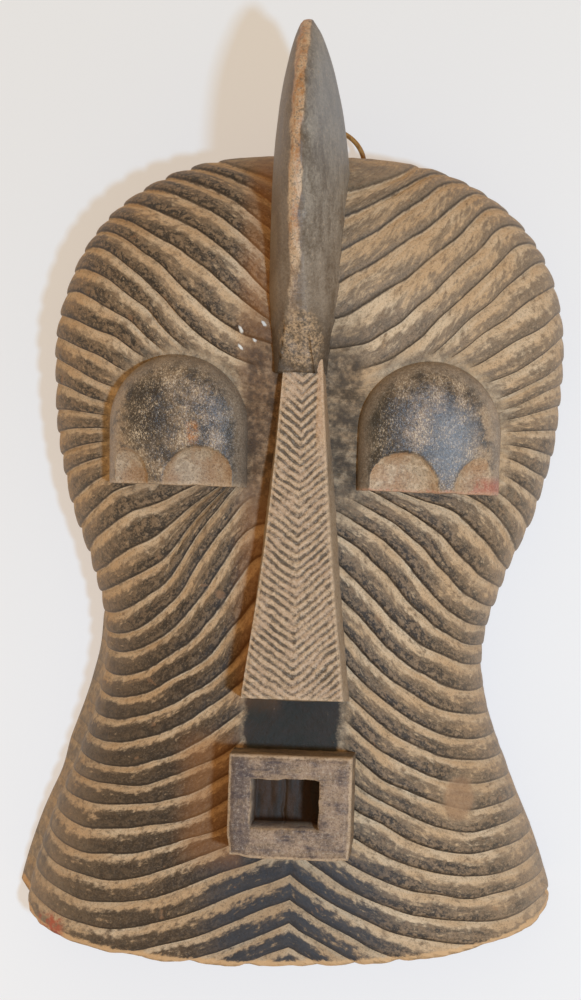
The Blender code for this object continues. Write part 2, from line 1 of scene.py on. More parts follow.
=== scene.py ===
"""A carved wooden face mask with fluted cheeks, lying face up: its fine carving, worn finish and studio.

The shapes are worked out in the carver's frame, in millimetres: x across the face, y from chin to crown with
y = 0 just under the eyes, z out of the face from the plane of the back rim. place() moves them to the part's
own frame, in metres. Colours and lights are the settings of MaskPaint and MaskStudio.
"""

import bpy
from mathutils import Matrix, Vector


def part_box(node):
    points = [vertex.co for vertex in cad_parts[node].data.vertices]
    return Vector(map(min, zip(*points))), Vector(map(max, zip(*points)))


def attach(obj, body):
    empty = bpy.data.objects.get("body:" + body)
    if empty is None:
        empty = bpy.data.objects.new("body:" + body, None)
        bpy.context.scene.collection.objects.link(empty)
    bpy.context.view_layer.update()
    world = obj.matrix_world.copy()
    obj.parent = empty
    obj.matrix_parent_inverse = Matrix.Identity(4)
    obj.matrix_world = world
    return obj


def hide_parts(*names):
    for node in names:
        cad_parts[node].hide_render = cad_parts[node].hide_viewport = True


bl_info = {
    "name": "Fluted face mask",
    "version": (1, 0, 0),
    "blender": (4, 5, 0),
    "location": "View3D > Sidebar > Mask",
    "description": "Carves a hollow wooden face mask with fluted cheeks and lays it on a pale floor",
    "category": "Add Mesh",
}

import bmesh
import bpy
import numpy as np
from bpy.props import FloatProperty, FloatVectorProperty, PointerProperty
from mathutils import Matrix, Vector

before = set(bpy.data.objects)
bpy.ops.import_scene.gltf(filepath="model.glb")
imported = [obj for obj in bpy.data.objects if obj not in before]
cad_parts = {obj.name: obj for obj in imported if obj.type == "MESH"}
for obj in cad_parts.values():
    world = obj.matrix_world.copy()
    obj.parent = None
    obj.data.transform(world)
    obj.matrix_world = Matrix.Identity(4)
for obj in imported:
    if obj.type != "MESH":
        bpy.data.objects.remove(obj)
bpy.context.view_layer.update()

MM = 0.001

# Head: plan outline, height of the face and the rounding between them
CROWN_Y = 201.0
TEMPLE_Y = 80.0
TEMPLE_HALF_WIDTH = 148.5
CROWN_POWERS = (2.2, 2.65)
CHEEK_SHARES = (
    (TEMPLE_Y, 1.0), (45.0, 0.9859), (0.0, 0.9178), (-45.0, 0.8013), (-70.0, 0.7495), (-90.0, 0.7360),
    (-110.0, 0.7556), (-150.0, 0.8404), (-195.0, 0.9677), (-225.0, 1.0290), (-300.0, 1.1313),
)
LEAN = ((202.0, 0.0), (90.0, -2.6), (0.0, -4.2), (-90.0, -6.2), (-170.0, -5.0), (-300.0, -4.2))
FACE_HEIGHTS = (
    (202.0, 120.0), (119.0, 119.0), (91.0, 117.0), (57.0, 109.0), (12.0, 99.0), (-33.0, 95.0),
    (-83.0, 94.5), (-122.0, 96.6), (-150.0, 97.3), (-211.0, 92.0), (-262.0, 84.5), (-300.0, 78.0),
)
CROWN_ROUND_LENGTH = 84.0
CROWN_ROUND_POWERS = (2.4, 2.0)
SIDE_WALLS = ((202.0, 32.0), (-90.0, 30.0), (-180.0, 18.0), (-262.0, 12.0))
LEFT_FLARE = (
    (202.0, 0.0), (-50.0, 0.0), (-75.0, 7.0), (-105.0, 10.5), (-145.0, 12.0), (-170.0, 9.0), (-225.0, 9.0),
    (-300.0, 7.0),
)
VAULT_POWERS = (2.4, 2.0)
SHARE_REPEATS = 12

# Hollow back
FACE_WALL = 16.0
RIM_WALL = 14.0
HOLLOW_TOP_FADE_Y = 90.0
HOLLOW_SIDE_WALL = 5.6
HOLLOW_SPREAD = 1.7
HOLLOW_REPEATS = 10
HOLLOW_FIRST_DROP = 30.0
HOLLOW_ROWS = 46
HOLLOW_COLUMNS = 33
ADZE_SIZE = 17.0
ADZE_DEPTH = 0.9

# Bottom edge: a flat slanting cut
CUT_Y = -225.0
CUT_SLOPE = -0.46
CUT_TILT = 0.05
CUT_ROUND = 1.8
CUT_ROUND_REACH = 2.2
CUT_BARE_REACH = 3.6

# Flutes: the y of line n in the middle, then at each share of the half width to the left and right
FLUTE_SHARES = (0.0, 0.4, 0.7, 1.0)
FLUTE_LINES = (
    (0, 202.0, (202.0, 202.0, 202.0), (202.0, 202.0, 202.0)),
    (1, 168.0, (185.0, 191.5, 196.5), (180.0, 190.5, 196.0)),
    (2, 148.0, (177.0, 186.0, 191.5), (171.0, 185.0, 190.5)),
    (4, 113.0, (155.0, 171.0, 178.0), (145.0, 168.0, 178.0)),
    (6, 84.0, (127.0, 150.0, 160.0), (106.0, 143.5, 160.5)),
    (8, 77.0, (92.0, 127.0, 141.0), (74.0, 113.0, 142.0)),
    (10, 65.0, (66.0, 99.0, 117.0), (62.0, 82.0, 115.0)),
    (12, 56.0, (55.0, 72.0, 92.0), (53.0, 58.0, 86.0)),
    (14, 47.0, (45.0, 51.0, 67.0), (44.0, 47.0, 59.0)),
    (16, 38.0, (35.0, 37.0, 32.0), (35.0, 36.0, 31.0)),
    (18, 29.0, (25.0, 23.0, 9.0), (25.0, 22.0, 3.0)),
    (20, 22.0, (16.0, 6.0, -21.0), (13.0, 4.0, -25.0)),
    (22, 11.0, (2.0, -22.0, -46.0), (0.0, -24.0, -47.0)),
    (24, -3.0, (-13.0, -52.0, -69.0), (-24.0, -53.0, -69.0)),
    (26, -20.0, (-47.0, -82.0, -91.0), (-57.0, -83.0, -92.0)),
    (28, -46.0, (-83.0, -111.0, -115.0), (-90.0, -114.0, -119.0)),
    (32, -112.0, (-149.0, -166.0, -163.0), (-154.0, -170.0, -167.0)),
    (36, -181.0, (-208.0, -221.0, -209.0), (-214.0, -222.0, -210.0)),
    (40, -239.0, (-266.0, -275.0, -260.0), (-272.0, -278.0, -258.0)),
    (43, -282.0, (-308.0, -312.0, -297.0), (-312.0, -314.0, -297.0)),
)
LEFT_DIVES = (((25.5, 3.2), (-0.2, 0.13), 11.0), ((23.0, 2.4), (-0.58, 0.14), -7.0))
FLUTES = 43
FLUTE_PITCH = 8.0
FLUTE_DEPTH = 2.6
FLUTE_LEVEL = 0.25
FLUTE_PHASES = (0.0, 0.05, 0.14, 0.26, 0.40, 0.55, 0.70, 0.83, 0.94)
FLUTE_PROFILE = (
    (0.0, 0.0), (0.05, 0.14), (0.14, 0.36), (0.26, 0.61), (0.40, 0.82), (0.55, 0.95),
    (0.70, 1.0), (0.83, 0.96), (0.94, 0.66), (1.0, 0.0),
)
CLAY_PROFILE = (
    (0.0, -1.0), (0.05, -1.2), (0.14, -1.1), (0.26, -0.35), (0.40, 0.25), (0.55, 0.5),
    (0.70, 0.65), (0.83, 0.95), (0.94, 1.3), (1.0, -1.0),
)
# Share of the crease colour across a flute: dirt and painted shade at the crease
CREASE_PROFILE = (
    (0.0, 0.5), (0.05, 0.0), (0.14, 0.0), (0.26, 0.0), (0.70, 0.0), (0.83, 0.3), (0.94, 1.0), (1.0, 0.5),
)
FACE_COLUMNS = 92
SIDE_COLUMNS = 5
SIDE_RISE = 4.0
SIDE_RISE_FLUTES = (12.0, 20.0)
CROWN_FADE_FLUTES = 1.5
RIM_FADE_Z = 90.0
RIM_STRENGTH = 0.2
PLAIN_EYE_BAND = (-18.5, 6.5, 70.0, 90.0)
PLAIN_BESIDE_NOSE = (24.0, 44.0)
PLAIN_ROUND_EYE = (2.0, 8.5)
PLAIN_LIP_BAND = (-144.0, -138.0, -108.0, -100.0)
PLAIN_LIP_HALF_WIDTHS = (27.0, 33.0)

# The hand's and time's unevenness: two shares of a flute, then depths, then (centre, radii) of a worn patch
FLUTE_SWAY = 0.16
DEPTH_CHANGE = 0.34
TOOL_MARKS = 0.35
PATCH_MARKS = 0.5
SWELL = 0.5
CHIP_DEPTH = 0.8
CHIP_STEP = (0.48, 0.75)
WORN_PATCH = ((93.0, -166.0), (15.0, 22.0))
RIM_CALM_Z = (-0.5, 3.0)
CUT_ROUND_Z = (2.0, 45.0)

# Cracks are (start, end, half width, depth), flecks (centre, radius) and pits (x, y, radius, depth)
CRACKS = (
    ((33.3, 93.5), (51.8, 119.0), 0.5, 1.0),
    ((23.0, 136.0), (27.0, 96.0), 0.8, 1.2),
    ((26.0, 178.0), (29.0, 150.0), 0.4, 0.5),
    ((0.0, -203.0), (1.5, -262.0), 0.9, 1.3),
    ((71.6, -166.0), (74.5, -250.0), 0.8, 0.8),
    ((-28.0, 60.0), (-25.0, 20.0), 0.6, 0.5),
)
CRACK_WAVER = 1.2
CRACK_BEVEL = 0.9
FLECKS = (((-22.0, 97.0), 2.6), ((-35.0, 93.0), 2.4), ((-36.0, 84.0), 2.2), ((-27.0, 88.0), 1.8))
PITS = (
    (141.4, -199.7, 2.2, 2.4), (144.0, -218.0, 2.0, 2.2), (146.7, -224.0, 1.8, 2.0),
    (134.8, -236.0, 3.0, 1.6), (83.5, -154.3, 3.0, 1.6), (24.0, 122.0, 2.6, 1.4),
    (25.5, 131.0, 2.0, 1.5), (42.8, 2.0, 6.5, 1.6), (117.0, 40.5, 2.2, 1.6), (61.0, -180.0, 3.5, 1.0),
    (-112.0, 33.0, 2.0, 1.4),
)

# Crest
CREST_RIDGE = (
    (70.0, 123.5), (90.0, 133.0), (110.0, 144.0), (135.0, 153.5), (160.0, 163.0), (186.0, 167.5),
    (212.0, 163.5), (236.0, 150.0), (255.0, 132.0), (265.5, 112.0), (263.0, 90.0), (250.0, 68.0),
    (230.0, 50.0), (206.0, 40.0),
)
CREST_HEART = (
    (70.0, 104.0), (90.0, 106.0), (110.0, 107.0), (130.0, 106.0), (148.0, 102.0), (160.0, 97.0),
    (168.0, 92.0), (173.0, 87.0), (177.0, 82.0), (180.0, 76.0), (183.0, 69.0), (186.0, 62.0),
    (189.0, 55.0), (192.0, 48.0),
)
CREST_HALF_WIDTHS = ((0.0, 15.0), (0.08, 18.0), (0.2, 20.5), (0.6, 21.0), (0.85, 17.0), (1.0, 10.0))
CREST_RIDGE_HALF_WIDTHS = ((0.0, 10.5), (0.08, 7.5), (0.2, 4.2), (0.35, 3.7), (1.0, 3.7))
CREST_SHAPE_POWER = 0.8
CREST_LEAN = -3.5
CREST_PEAK = 0.02
RIDGE_LEAN = 1.4
CREST_WEAR_REACH = 4.0
CREST_RUB_FADE = 5.0
CREST_RUB_Y = (110.0, 175.0)
CREST_KNOB = ((-1.0, 88.0), (19.0, 26.0))
CREST_KNOB_Z = (110.0, 122.0)
CREST_KNOB_DEPTH = 1.3
CREST_STATIONS = 190
CREST_SIDE_STEPS = 30
CREST_TOP_STEPS = 8

# Nose
NOSE_TOP_Y = 78.0
NOSE_TIP_Y = -109.5
NOSE_HALF_WIDTHS = ((90.0, 10.0), (70.0, 11.0), (-22.0, 17.9), (-109.5, 28.0), (-140.0, 31.4))
NOSE_FRONTS = ((90.0, 122.5), (70.0, 122.5), (20.0, 119.5), (-22.0, 120.0), (-70.0, 124.5), (-140.0, 133.0))
NOSE_DRAFT = 4.0
CHEVRON_PITCH = 4.9
CHEVRON_SLOPES = (0.72, 0.92)
CHEVRON_DEPTH = 1.15
CHEVRON_TOP_Y = 66.0
CHEVRON_EDGE = (0.25, 0.9)
NOSE_EDGE_REACH = 1.5
NOSE_EDGE_DEPTH = 0.9
NOSE_BARE_X = (7.6, 9.0)
NOSE_BARE_Y = (22.0, 40.0)
NOSE_BUNCH = 0.86
NOSE_ROWS = 400
NOSE_COLUMNS = 66

# Eyes
EYE_X = 70.5
EYE_HALF_WIDTH = 39.5
EYE_BOTTOM_Y = 6.5
EYE_ARCH_Y = 40.0
EYE_EDGE_Z = 93.0
EYE_RISE = 20.5
EYE_TILT = 0.12
EYE_CLIMB = 0.17
EYE_POWERS = (3.0, 2.0)
SCOOPS = ((-14.0, (21.0, 21.5, 9.0)), (31.0, (16.5, 20.5, 9.0)))
EYE_CORNER = ((EYE_X + EYE_HALF_WIDTH + 3.0, 4.0), (9.0, 20.0))
EYE_LIP_REACH = 1.6
EYE_DRAFT = 0.4
EYE_STEPS = 130

# Mouth
MOUTH_LEFT = -33.0
MOUTH_RIGHT = 34.5
MOUTH_TOP_Y = -140.5
MOUTH_BOTTOM_Y = -197.0
MOUTH_FRONT_Z = 131.0
RECESS_LEFT = -20.5
RECESS_RIGHT = 17.0
RECESS_TOP_Y = -153.3
RECESS_BOTTOM_Y = -180.3
RECESS_DEPTH = 35.0
FACE_DIP = 9.0
MOUTH_EDGE_REACH = 1.9
MOUTH_LIP_REACH = 1.3
MOUTH_WALL_REACH = 3.0
MOUTH_DRAFT = 0.8
MOUTH_STEP = 0.8
WALL_GAP = 0.12

# Hanging loop
CANE_RADIUS = 1.5
LOOP_HALF_WIDTH = 25.5
LOOP_RISE = 21.5
LOOP_Z = 20.0
LOOP_KNOT_RADIUS = 3.4
LOOP_KNOT_GAP = 4.0
LOOP_ROOT_DEPTH = 2.0
LOOP_STEPS = 61
HOLE_STEPS = 6
KNOT_STEPS = 10
KNOT_TURNS = (0.08, 0.78)
CANE_SIDES = 18

# How deep a block's foot goes into the face it stands on, and how rough its side walls are
FOOT_DEPTH = 7.0
LEAST_SKIRT = 2.0
SKIRT_RINGS = 5
SKIRT_ROUGH = 0.3
WELD = 0.01

# Stage
FLOOR_GAP = 0.0004
SENSOR_WIDTH = 36.0


# Numbers

def smooth(points, at):
    """The value at each place of a curve through (place, value) points that never overshoots them."""
    place, value = np.array(sorted(points), dtype=float).T
    step = np.diff(place)
    slope = np.diff(value) / step
    tangent = np.zeros_like(place)
    before, after = slope[:-1], slope[1:]
    same_way = before * after > 0.0
    tangent[1:-1][same_way] = 2.0 * (before * after)[same_way] / (before + after)[same_way]
    tangent[0], tangent[-1] = slope[0], slope[-1]
    at = np.clip(np.asarray(at, dtype=float), place[0], place[-1])
    index = np.clip(np.searchsorted(place, at) - 1, 0, len(step) - 1)
    t = (at - place[index]) / step[index]
    start = (1.0 + 2.0 * t) * (1.0 - t) ** 2 * value[index]
    end = t ** 2 * (3.0 - 2.0 * t) * value[index + 1]
    leave = t * (1.0 - t) ** 2 * step[index] * tangent[index]
    arrive = t ** 2 * (t - 1.0) * step[index] * tangent[index + 1]
    return start + end + leave + arrive


def straight(points, at):
    """The value at each place of straight lines through (place, value) points."""
    place, value = np.array(points, dtype=float).T
    return np.interp(at, place, value)


def fade(value, low, high):
    """A smooth step from 0 at low to 1 at high."""
    t = np.clip((np.asarray(value, dtype=float) - low) / (high - low), 0.0, 1.0)
    return t * t * (3.0 - 2.0 * t)


def spot(points, centre, radii):
    """1 in the middle of an ellipse across x and y, falling to 0 at its edge."""
    away = sum(((points[..., i] - centre[i]) / radii[i]) ** 2 for i in range(2))
    return 1.0 - fade(np.sqrt(away), 0.25, 1.0)


def lattice(cell, seed):
    """A repeatable number from -1 to 1 for each cell of a whole-numbered lattice: its bits, well stirred."""
    mixed = cell[0] * 374761393 + cell[1] * 668265263 + cell[2] * 1440662683 + seed * 974634777
    mixed = mixed & 0xFFFFFFFF
    mixed = ((mixed ^ (mixed >> 13)) * 1274126177) & 0xFFFFFFFF
    return ((mixed ^ (mixed >> 16)) & 0xFFFFFF) / 8388607.5 - 1.0


def noise(points, size, seed, octaves=1):
    """Smooth noise: lattice numbers a cell apart, blended by smooth steps, each octave half the size."""
    total = np.zeros(points.shape[:-1])
    weight, whole = 1.0, 0.0
    for octave in range(octaves):
        at = points / (np.asarray(size) * 0.5 ** octave)
        low = np.floor(at).astype(np.int64)
        part = np.moveaxis(at - low, -1, 0)
        part = part * part * (3.0 - 2.0 * part)
        low = np.moveaxis(low, -1, 0)
        value = 0.0
        for dx in (0, 1):
            for dy in (0, 1):
                for dz in (0, 1):
                    share = np.abs(1 - dx - part[0]) * np.abs(1 - dy - part[1]) * np.abs(1 - dz - part[2])
                    value = value + share * lattice((low[0] + dx, low[1] + dy, low[2] + dz), seed + octave)
        total += weight * value
        whole += weight
        weight *= 0.55
    return total / whole


def origin_shift():
    """From the carver's frame to the part's: the solid loop's middle and top are at known places."""
    low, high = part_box("hanging_loop")
    top = CROWN_Y - LOOP_ROOT_DEPTH + LOOP_RISE + CANE_RADIUS
    return np.array([0.5 * (low[0] + high[0]) / MM, high[1] / MM - top, 0.0])


SHIFT = origin_shift()


def place(points):
    """Millimetres in the carver's frame to metres in the part's frame."""
    return (np.asarray(points, dtype=float) + SHIFT) * MM


# The head's form

def half_width(y):
    """Half the width of the head at y: an oval dome above the temples, a waisted curve below."""
    rise = np.clip((y - TEMPLE_Y) / (CROWN_Y - TEMPLE_Y), 0.0, 1.0)
    across, up = CROWN_POWERS
    dome = TEMPLE_HALF_WIDTH * (1.0 - rise ** across) ** (1.0 / up)
    return np.where(y > TEMPLE_Y, dome, TEMPLE_HALF_WIDTH * smooth(CHEEK_SHARES, y))


def face_height(y):
    """Height of the middle of the face above the rim plane, falling in a round curve at the crown."""
    side = smooth(SIDE_WALLS, y)
    start = CROWN_Y - CROWN_ROUND_LENGTH
    share = np.clip((y - start) / CROWN_ROUND_LENGTH, 0.0, 1.0)
    along, up = CROWN_ROUND_POWERS
    return side + (smooth(FACE_HEIGHTS, y) - side) * (1.0 - share ** along) ** (1.0 / up)


def vault(share):
    """Height of the vaulted face as a share of its middle height, at this share of the half width."""
    across, up = VAULT_POWERS
    return (1.0 - np.minimum(np.abs(share), 1.0) ** across) ** (1.0 / up)


def face_z(x, y):
    """Height of the plain face over a point: the share that gives this x is found by a few repeats."""
    width, lean = half_width(y), smooth(LEAN, y)
    share = np.zeros_like(x)
    for _ in range(SHARE_REPEATS):
        share = (x - lean * share ** 2) / width
    side = smooth(SIDE_WALLS, y)
    return side + (face_height(y) - side) * vault(share)


def flute_line(number, share):
    """The y of flute line `number` at this share of the half width, negative on the left.

    On each side it is the cubic through the four heights at FLUTE_SHARES; two soft dips bend the left side.
    """
    numbers = [line[0] for line in FLUTE_LINES]
    middles = [line[1] for line in FLUTE_LINES]
    sides = []
    for side in (2, 3):
        columns = [middles] + list(zip(*(line[side] for line in FLUTE_LINES)))
        heights = [smooth(list(zip(numbers, column)), number) for column in columns]
        total = 0.0
        for i, height in enumerate(heights):
            weight = 1.0
            for j, other in enumerate(FLUTE_SHARES):
                if j != i:
                    weight = weight * (np.abs(share) - other) / (FLUTE_SHARES[i] - other)
            total = total + height * weight
        sides.append(total)
    left = sides[0]
    for (middle, flutes), (at, wide), rise in LEFT_DIVES:
        left = left + rise * np.exp(-((number - middle) / flutes) ** 2 - ((share - at) / wide) ** 2)
    return np.where(share < 0.0, left, sides[1])


def flute_strength(number, points):
    """How deep the flutes are cut: full on the cheeks and none where the wood is left plain."""
    x, y, z = np.moveaxis(points, -1, 0)
    beside_nose = fade(np.abs(x), *PLAIN_BESIDE_NOSE)
    eye_band = fade(y, *PLAIN_EYE_BAND[:2]) * (1.0 - fade(y, *PLAIN_EYE_BAND[2:]))
    lip = fade(y, *PLAIN_LIP_BAND[:2]) * (1.0 - fade(y, *PLAIN_LIP_BAND[2:]))
    lip = lip * (1.0 - fade(np.abs(x), *PLAIN_LIP_HALF_WIDTHS))
    above_eye = np.hypot(np.abs(x) - EYE_X, np.maximum(y - EYE_ARCH_Y, 0.0)) - EYE_HALF_WIDTH
    moat = (1.0 - fade(above_eye, *PLAIN_ROUND_EYE)) * fade(y, EYE_BOTTOM_Y, 2.0 * EYE_BOTTOM_Y)
    lip = np.maximum(lip, moat)
    crown = fade(number, 0.0, CROWN_FADE_FLUTES)
    rim = RIM_STRENGTH + (1.0 - RIM_STRENGTH) * fade(z, 0.0, RIM_FADE_Z)
    return (1.0 - eye_band * (1.0 - beside_nose)) * (1.0 - lip) * crown * rim


def normals_of(grid):
    """The unit normal at each point of a grid, from its neighbours along and across."""
    normal = np.cross(np.gradient(grid, axis=0), np.gradient(grid, axis=1))
    return normal / np.maximum(np.linalg.norm(normal, axis=-1, keepdims=True), 1e-9)


def past_cut(points):
    """How far a point lies inside the slanting bottom cut, along y; negative past it."""
    return points[..., 1] - (CUT_Y + CUT_TILT * points[..., 0] + CUT_SLOPE * points[..., 2])


# Meshes

def grid_faces(rows, columns, start=0, ring=False):
    """Quads between the points of a grid, closed into rings where asked."""
    index = start + np.arange(rows * columns).reshape(rows, columns)
    if ring:
        index = np.concatenate([index, index[:, :1]], axis=1)
    corners = (index[:-1, :-1], index[1:, :-1], index[1:, 1:], index[:-1, 1:])
    return np.stack([corner.ravel() for corner in corners], axis=-1).tolist()


def closed_rings(grid):
    """Quads round the rings of a grid, with one face over each end."""
    rows, columns = grid.shape[:2]
    ends = np.arange(rows * columns).reshape(rows, columns)[[0, -1]]
    return grid_faces(rows, columns, ring=True) + ends.tolist()


def build_mesh(name, points, faces, values, finish=None):
    """A mesh from points in millimetres with named numbers for each point, welded and turned outwards."""
    mesh = bpy.data.meshes.new(name)
    mesh.from_pydata(place(points).tolist(), [], faces)
    for key, value in values.items():
        layer = mesh.attributes.new(key, "FLOAT", "POINT")
        layer.data.foreach_set("value", np.broadcast_to(value, len(points)).astype(np.float32).ravel())
    shape = bmesh.new()
    shape.from_mesh(mesh)
    bmesh.ops.remove_doubles(shape, verts=shape.verts, dist=WELD * MM)
    bmesh.ops.dissolve_degenerate(shape, edges=shape.edges, dist=0.2 * WELD * MM)
    if finish:
        finish(shape)
    bmesh.ops.recalc_face_normals(shape, faces=shape.faces)
    shape.to_mesh(mesh)
    shape.free()
    mesh.shade_smooth()
    return mesh


def show(name, data):
    """Put a new object for some data into the scene."""
    item = bpy.data.objects.new(name, data)
    bpy.context.scene.collection.objects.link(item)
    return item


def add_piece(name, mesh, material):
    """Show a mesh as a piece of the carving, riding on the root body."""
    piece = show(name, mesh)
    mesh.materials.append(material)
    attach(piece, "root")
    return piece


def block(name, grid, draft, values, seed, rough=SKIRT_ROUGH):
    """A block carved from a front: the grid is its top, its edge drops in rings to a foot inside the face.

    Ring k of n on the skirt lies at share k/n of the way down, moved outwards by that share of the draft.
    Its points keep the edge's values, and one more value, side, is 1 on the skirt and 0 on the front.
    """
    rows, columns = grid.shape[:2]
    index = np.arange(rows * columns).reshape(rows, columns)
    edge = np.concatenate([index[0, :-1], index[:-1, -1], index[-1, :0:-1], index[:0:-1, 0]])
    flat = grid.reshape(-1, 3)
    rim = flat[edge]
    out = rim[:, :2] - rim[:, :2].mean(axis=0)
    out = out / np.maximum(np.abs(out).max(axis=0), 1e-9)
    out = out / np.maximum(np.linalg.norm(out, axis=1, keepdims=True), 1e-9)
    foot = np.minimum(face_z(rim[:, 0], rim[:, 1]) - FOOT_DEPTH, rim[:, 2] - LEAST_SKIRT)
    points, faces = [flat], grid_faces(rows, columns)
    start, last = len(flat), edge
    around = {key: value.ravel()[edge] for key, value in values.items()}
    for step in range(1, SKIRT_RINGS + 1):
        share = step / SKIRT_RINGS
        ring = rim.copy()
        ring[:, 2] += (foot - rim[:, 2]) * share
        ring[:, :2] += out * draft * share
        ring[:, :2] += out * (rough * noise(ring, 5.0, seed, 2) * min(1.0, 3.0 * share))[:, None]
        own = start + np.arange(len(edge))
        faces += np.stack([last, own, np.roll(own, -1), np.roll(last, -1)], axis=-1).tolist()
        points.append(ring)
        start, last = start + len(edge), own
    faces.append(last.tolist())
    merged = {key: np.append(values[key].ravel(), np.tile(around[key], SKIRT_RINGS)) for key in values}
    merged["side"] = np.repeat([0.0, 1.0], [len(flat), SKIRT_RINGS * len(edge)])
    return build_mesh(name, np.concatenate(points), faces, merged)


# The fluted face

def plain_skin():
    """The outer skin before it is cut: rows follow the flute lines, columns the shares of the half width.

    y is the flute line of flute + phase, x = half width * share + lean * share squared, and z comes from the
    vault; the last columns on each side drop straight to the rim plane. Each row's flute and phase come too.
    """
    phases = np.array(FLUTE_PHASES)
    numbers = (np.arange(FLUTES)[:, None] + phases).ravel()[:, None]
    phase = np.tile(phases, FLUTES)[:, None]
    share = np.sin(0.5 * np.pi * np.linspace(-1.0, 1.0, 2 * FACE_COLUMNS + 1))
    share = np.pad(share, SIDE_COLUMNS, mode="edge")[None, :]
    drop = np.linspace(1.0, 0.0, SIDE_COLUMNS + 1)[:-1]
    drop = np.concatenate([drop, np.zeros(2 * FACE_COLUMNS + 1), drop[::-1]])[None, :]
    y = flute_line(numbers, share)
    base = np.stack(np.broadcast_arrays(half_width(y) * share, y, 0.0 * y), axis=-1)
    sway = noise(base, (46.0, 30.0, 50.0), 11) + 0.5 * noise(base, (17.0, 13.0, 50.0), 12)
    settled = fade(numbers, 1.0, 3.0) * (1.0 - drop)
    y = flute_line(numbers + FLUTE_SWAY * sway * settled, share)
    y = y + SIDE_RISE * drop * fade(numbers, *SIDE_RISE_FLUTES)
    x = half_width(y) * share + smooth(LEAN, y) * share ** 2
    x = x - smooth(LEFT_FLARE, y) * drop * (share < 0.0)
    side = smooth(SIDE_WALLS, y)
    z = (side + (face_height(y) - side) * vault(share)) * (1.0 - drop)
    return np.stack([x, y, z], axis=-1), numbers, phase


def mouth_bed(x, y):
    """1 where the face dips behind the mouth's recess, fading out under the walls of the mouth box."""
    bed = fade(x, MOUTH_LEFT + 2.0, RECESS_LEFT - 2.0)
    bed = bed * (1.0 - fade(x, RECESS_RIGHT + 2.0, MOUTH_RIGHT - 2.0))
    bed = bed * fade(y, MOUTH_BOTTOM_Y + 2.0, RECESS_BOTTOM_Y - 3.0)
    return bed * (1.0 - fade(y, RECESS_TOP_Y + 3.0, MOUTH_TOP_Y - 2.0))


def face_grid():
    """The outer skin, cut: each point sinks along its normal by the flute profile, the marks of tools and
    wear and the rounding of the bottom edge, all fading out at the rim plane."""
    grid, numbers, phase = plain_skin()
    x, y, z = np.moveaxis(grid, -1, 0)
    patch = spot(grid, *WORN_PATCH)
    strength = flute_strength(numbers, grid) * (1.0 - 0.7 * patch) * (1.0 - 0.4 * spot(grid, *EYE_CORNER))
    crown = straight(FLUTE_PROFILE, phase)
    depth = FLUTE_DEPTH * (1.0 + DEPTH_CHANGE * noise(grid, (28.0, 20.0, 28.0), 21)) * strength
    chips = fade(noise(grid, (9.0, 5.0, 9.0), 41, 2), *CHIP_STEP) * crown * strength
    inside = np.maximum(past_cut(grid), 0.0)
    worn = np.exp(-(inside / CUT_ROUND_REACH) ** 2) * fade(z, *CUT_ROUND_Z)
    sink = depth * (FLUTE_LEVEL - crown)
    sink = sink + (TOOL_MARKS + PATCH_MARKS * patch) * noise(grid, 6.0, 31, 3) * (0.35 + 0.65 * crown)
    sink = sink + SWELL * noise(grid, 30.0, 35) + CHIP_DEPTH * chips
    sink = sink + CUT_ROUND * worn * (1.0 + 0.8 * noise(grid, 8.0, 51, 2))
    sink = (sink + carved_marks(grid)) * fade(z, *RIM_CALM_Z) + FACE_DIP * mouth_bed(x, y)
    moved = normals_of(grid) * -sink[..., None]
    moved[z <= 1e-6, 2] = 0.0
    carved = grid + moved
    run = np.cumsum(np.linalg.norm(np.diff(grid, axis=1, prepend=grid[:, :1]), axis=-1), axis=1)
    values = {
        "along": run * MM,
        "across": numbers * FLUTE_PITCH * MM,
        "fleck": sum(spot(carved, centre, (radius, radius)) for centre, radius in FLECKS),
        "clay": straight(CLAY_PROFILE, phase),
        "crease": straight(CREASE_PROFILE, phase),
        "fluted": strength,
        "worn": np.exp(-(inside / CUT_BARE_REACH) ** 2),
        "chipped": np.maximum(chips, patch),
    }
    return carved, {key: np.broadcast_to(value, x.shape) for key, value in values.items()}


def carved_marks(grid):
    """Cracks are narrow troughs along wavering lines; pits are small round hollows."""
    x, y = grid[..., 0], grid[..., 1]
    total = np.zeros_like(x)
    for start, end, half, depth in CRACKS:
        start, end = np.array(start), np.array(end)
        run = end - start
        length = np.linalg.norm(run)
        along = ((x - start[0]) * run[0] + (y - start[1]) * run[1]) / length
        off = ((x - start[0]) * run[1] - (y - start[1]) * run[0]) / length
        waver = CRACK_WAVER * noise(grid, 9.0, 61, 2)
        ends = fade(along, -4.0, 3.0) * (1.0 - fade(along, length - 3.0, length + 4.0))
        total += depth * ends * np.exp(-((off + waver) / (half + CRACK_BEVEL)) ** 2)
    for px, py, radius, depth in PITS:
        away = np.sqrt((x - px) ** 2 + (y - py) ** 2) * (1.0 + 0.35 * noise(grid, 3.0, 71))
        total += depth * (1.0 - fade(away, 0.3 * radius, radius))
    return total


def cut_off(grid):
    """End each column of the skin on the bottom cut: rows past the crossing gather at it."""
    inside = past_cut(grid)
    first = np.argmax(inside < 0.0, axis=0)
    column = np.arange(grid.shape[1])
    before, after = inside[first - 1, column], inside[first, column]
    share = (before / (before - after))[:, None]
    crossing = grid[first - 1, column] * (1.0 - share) + grid[first, column] * share
    gone = np.arange(grid.shape[0])[:, None] >= first[None, :]
    return np.where(gone[..., None], crossing[None], grid)


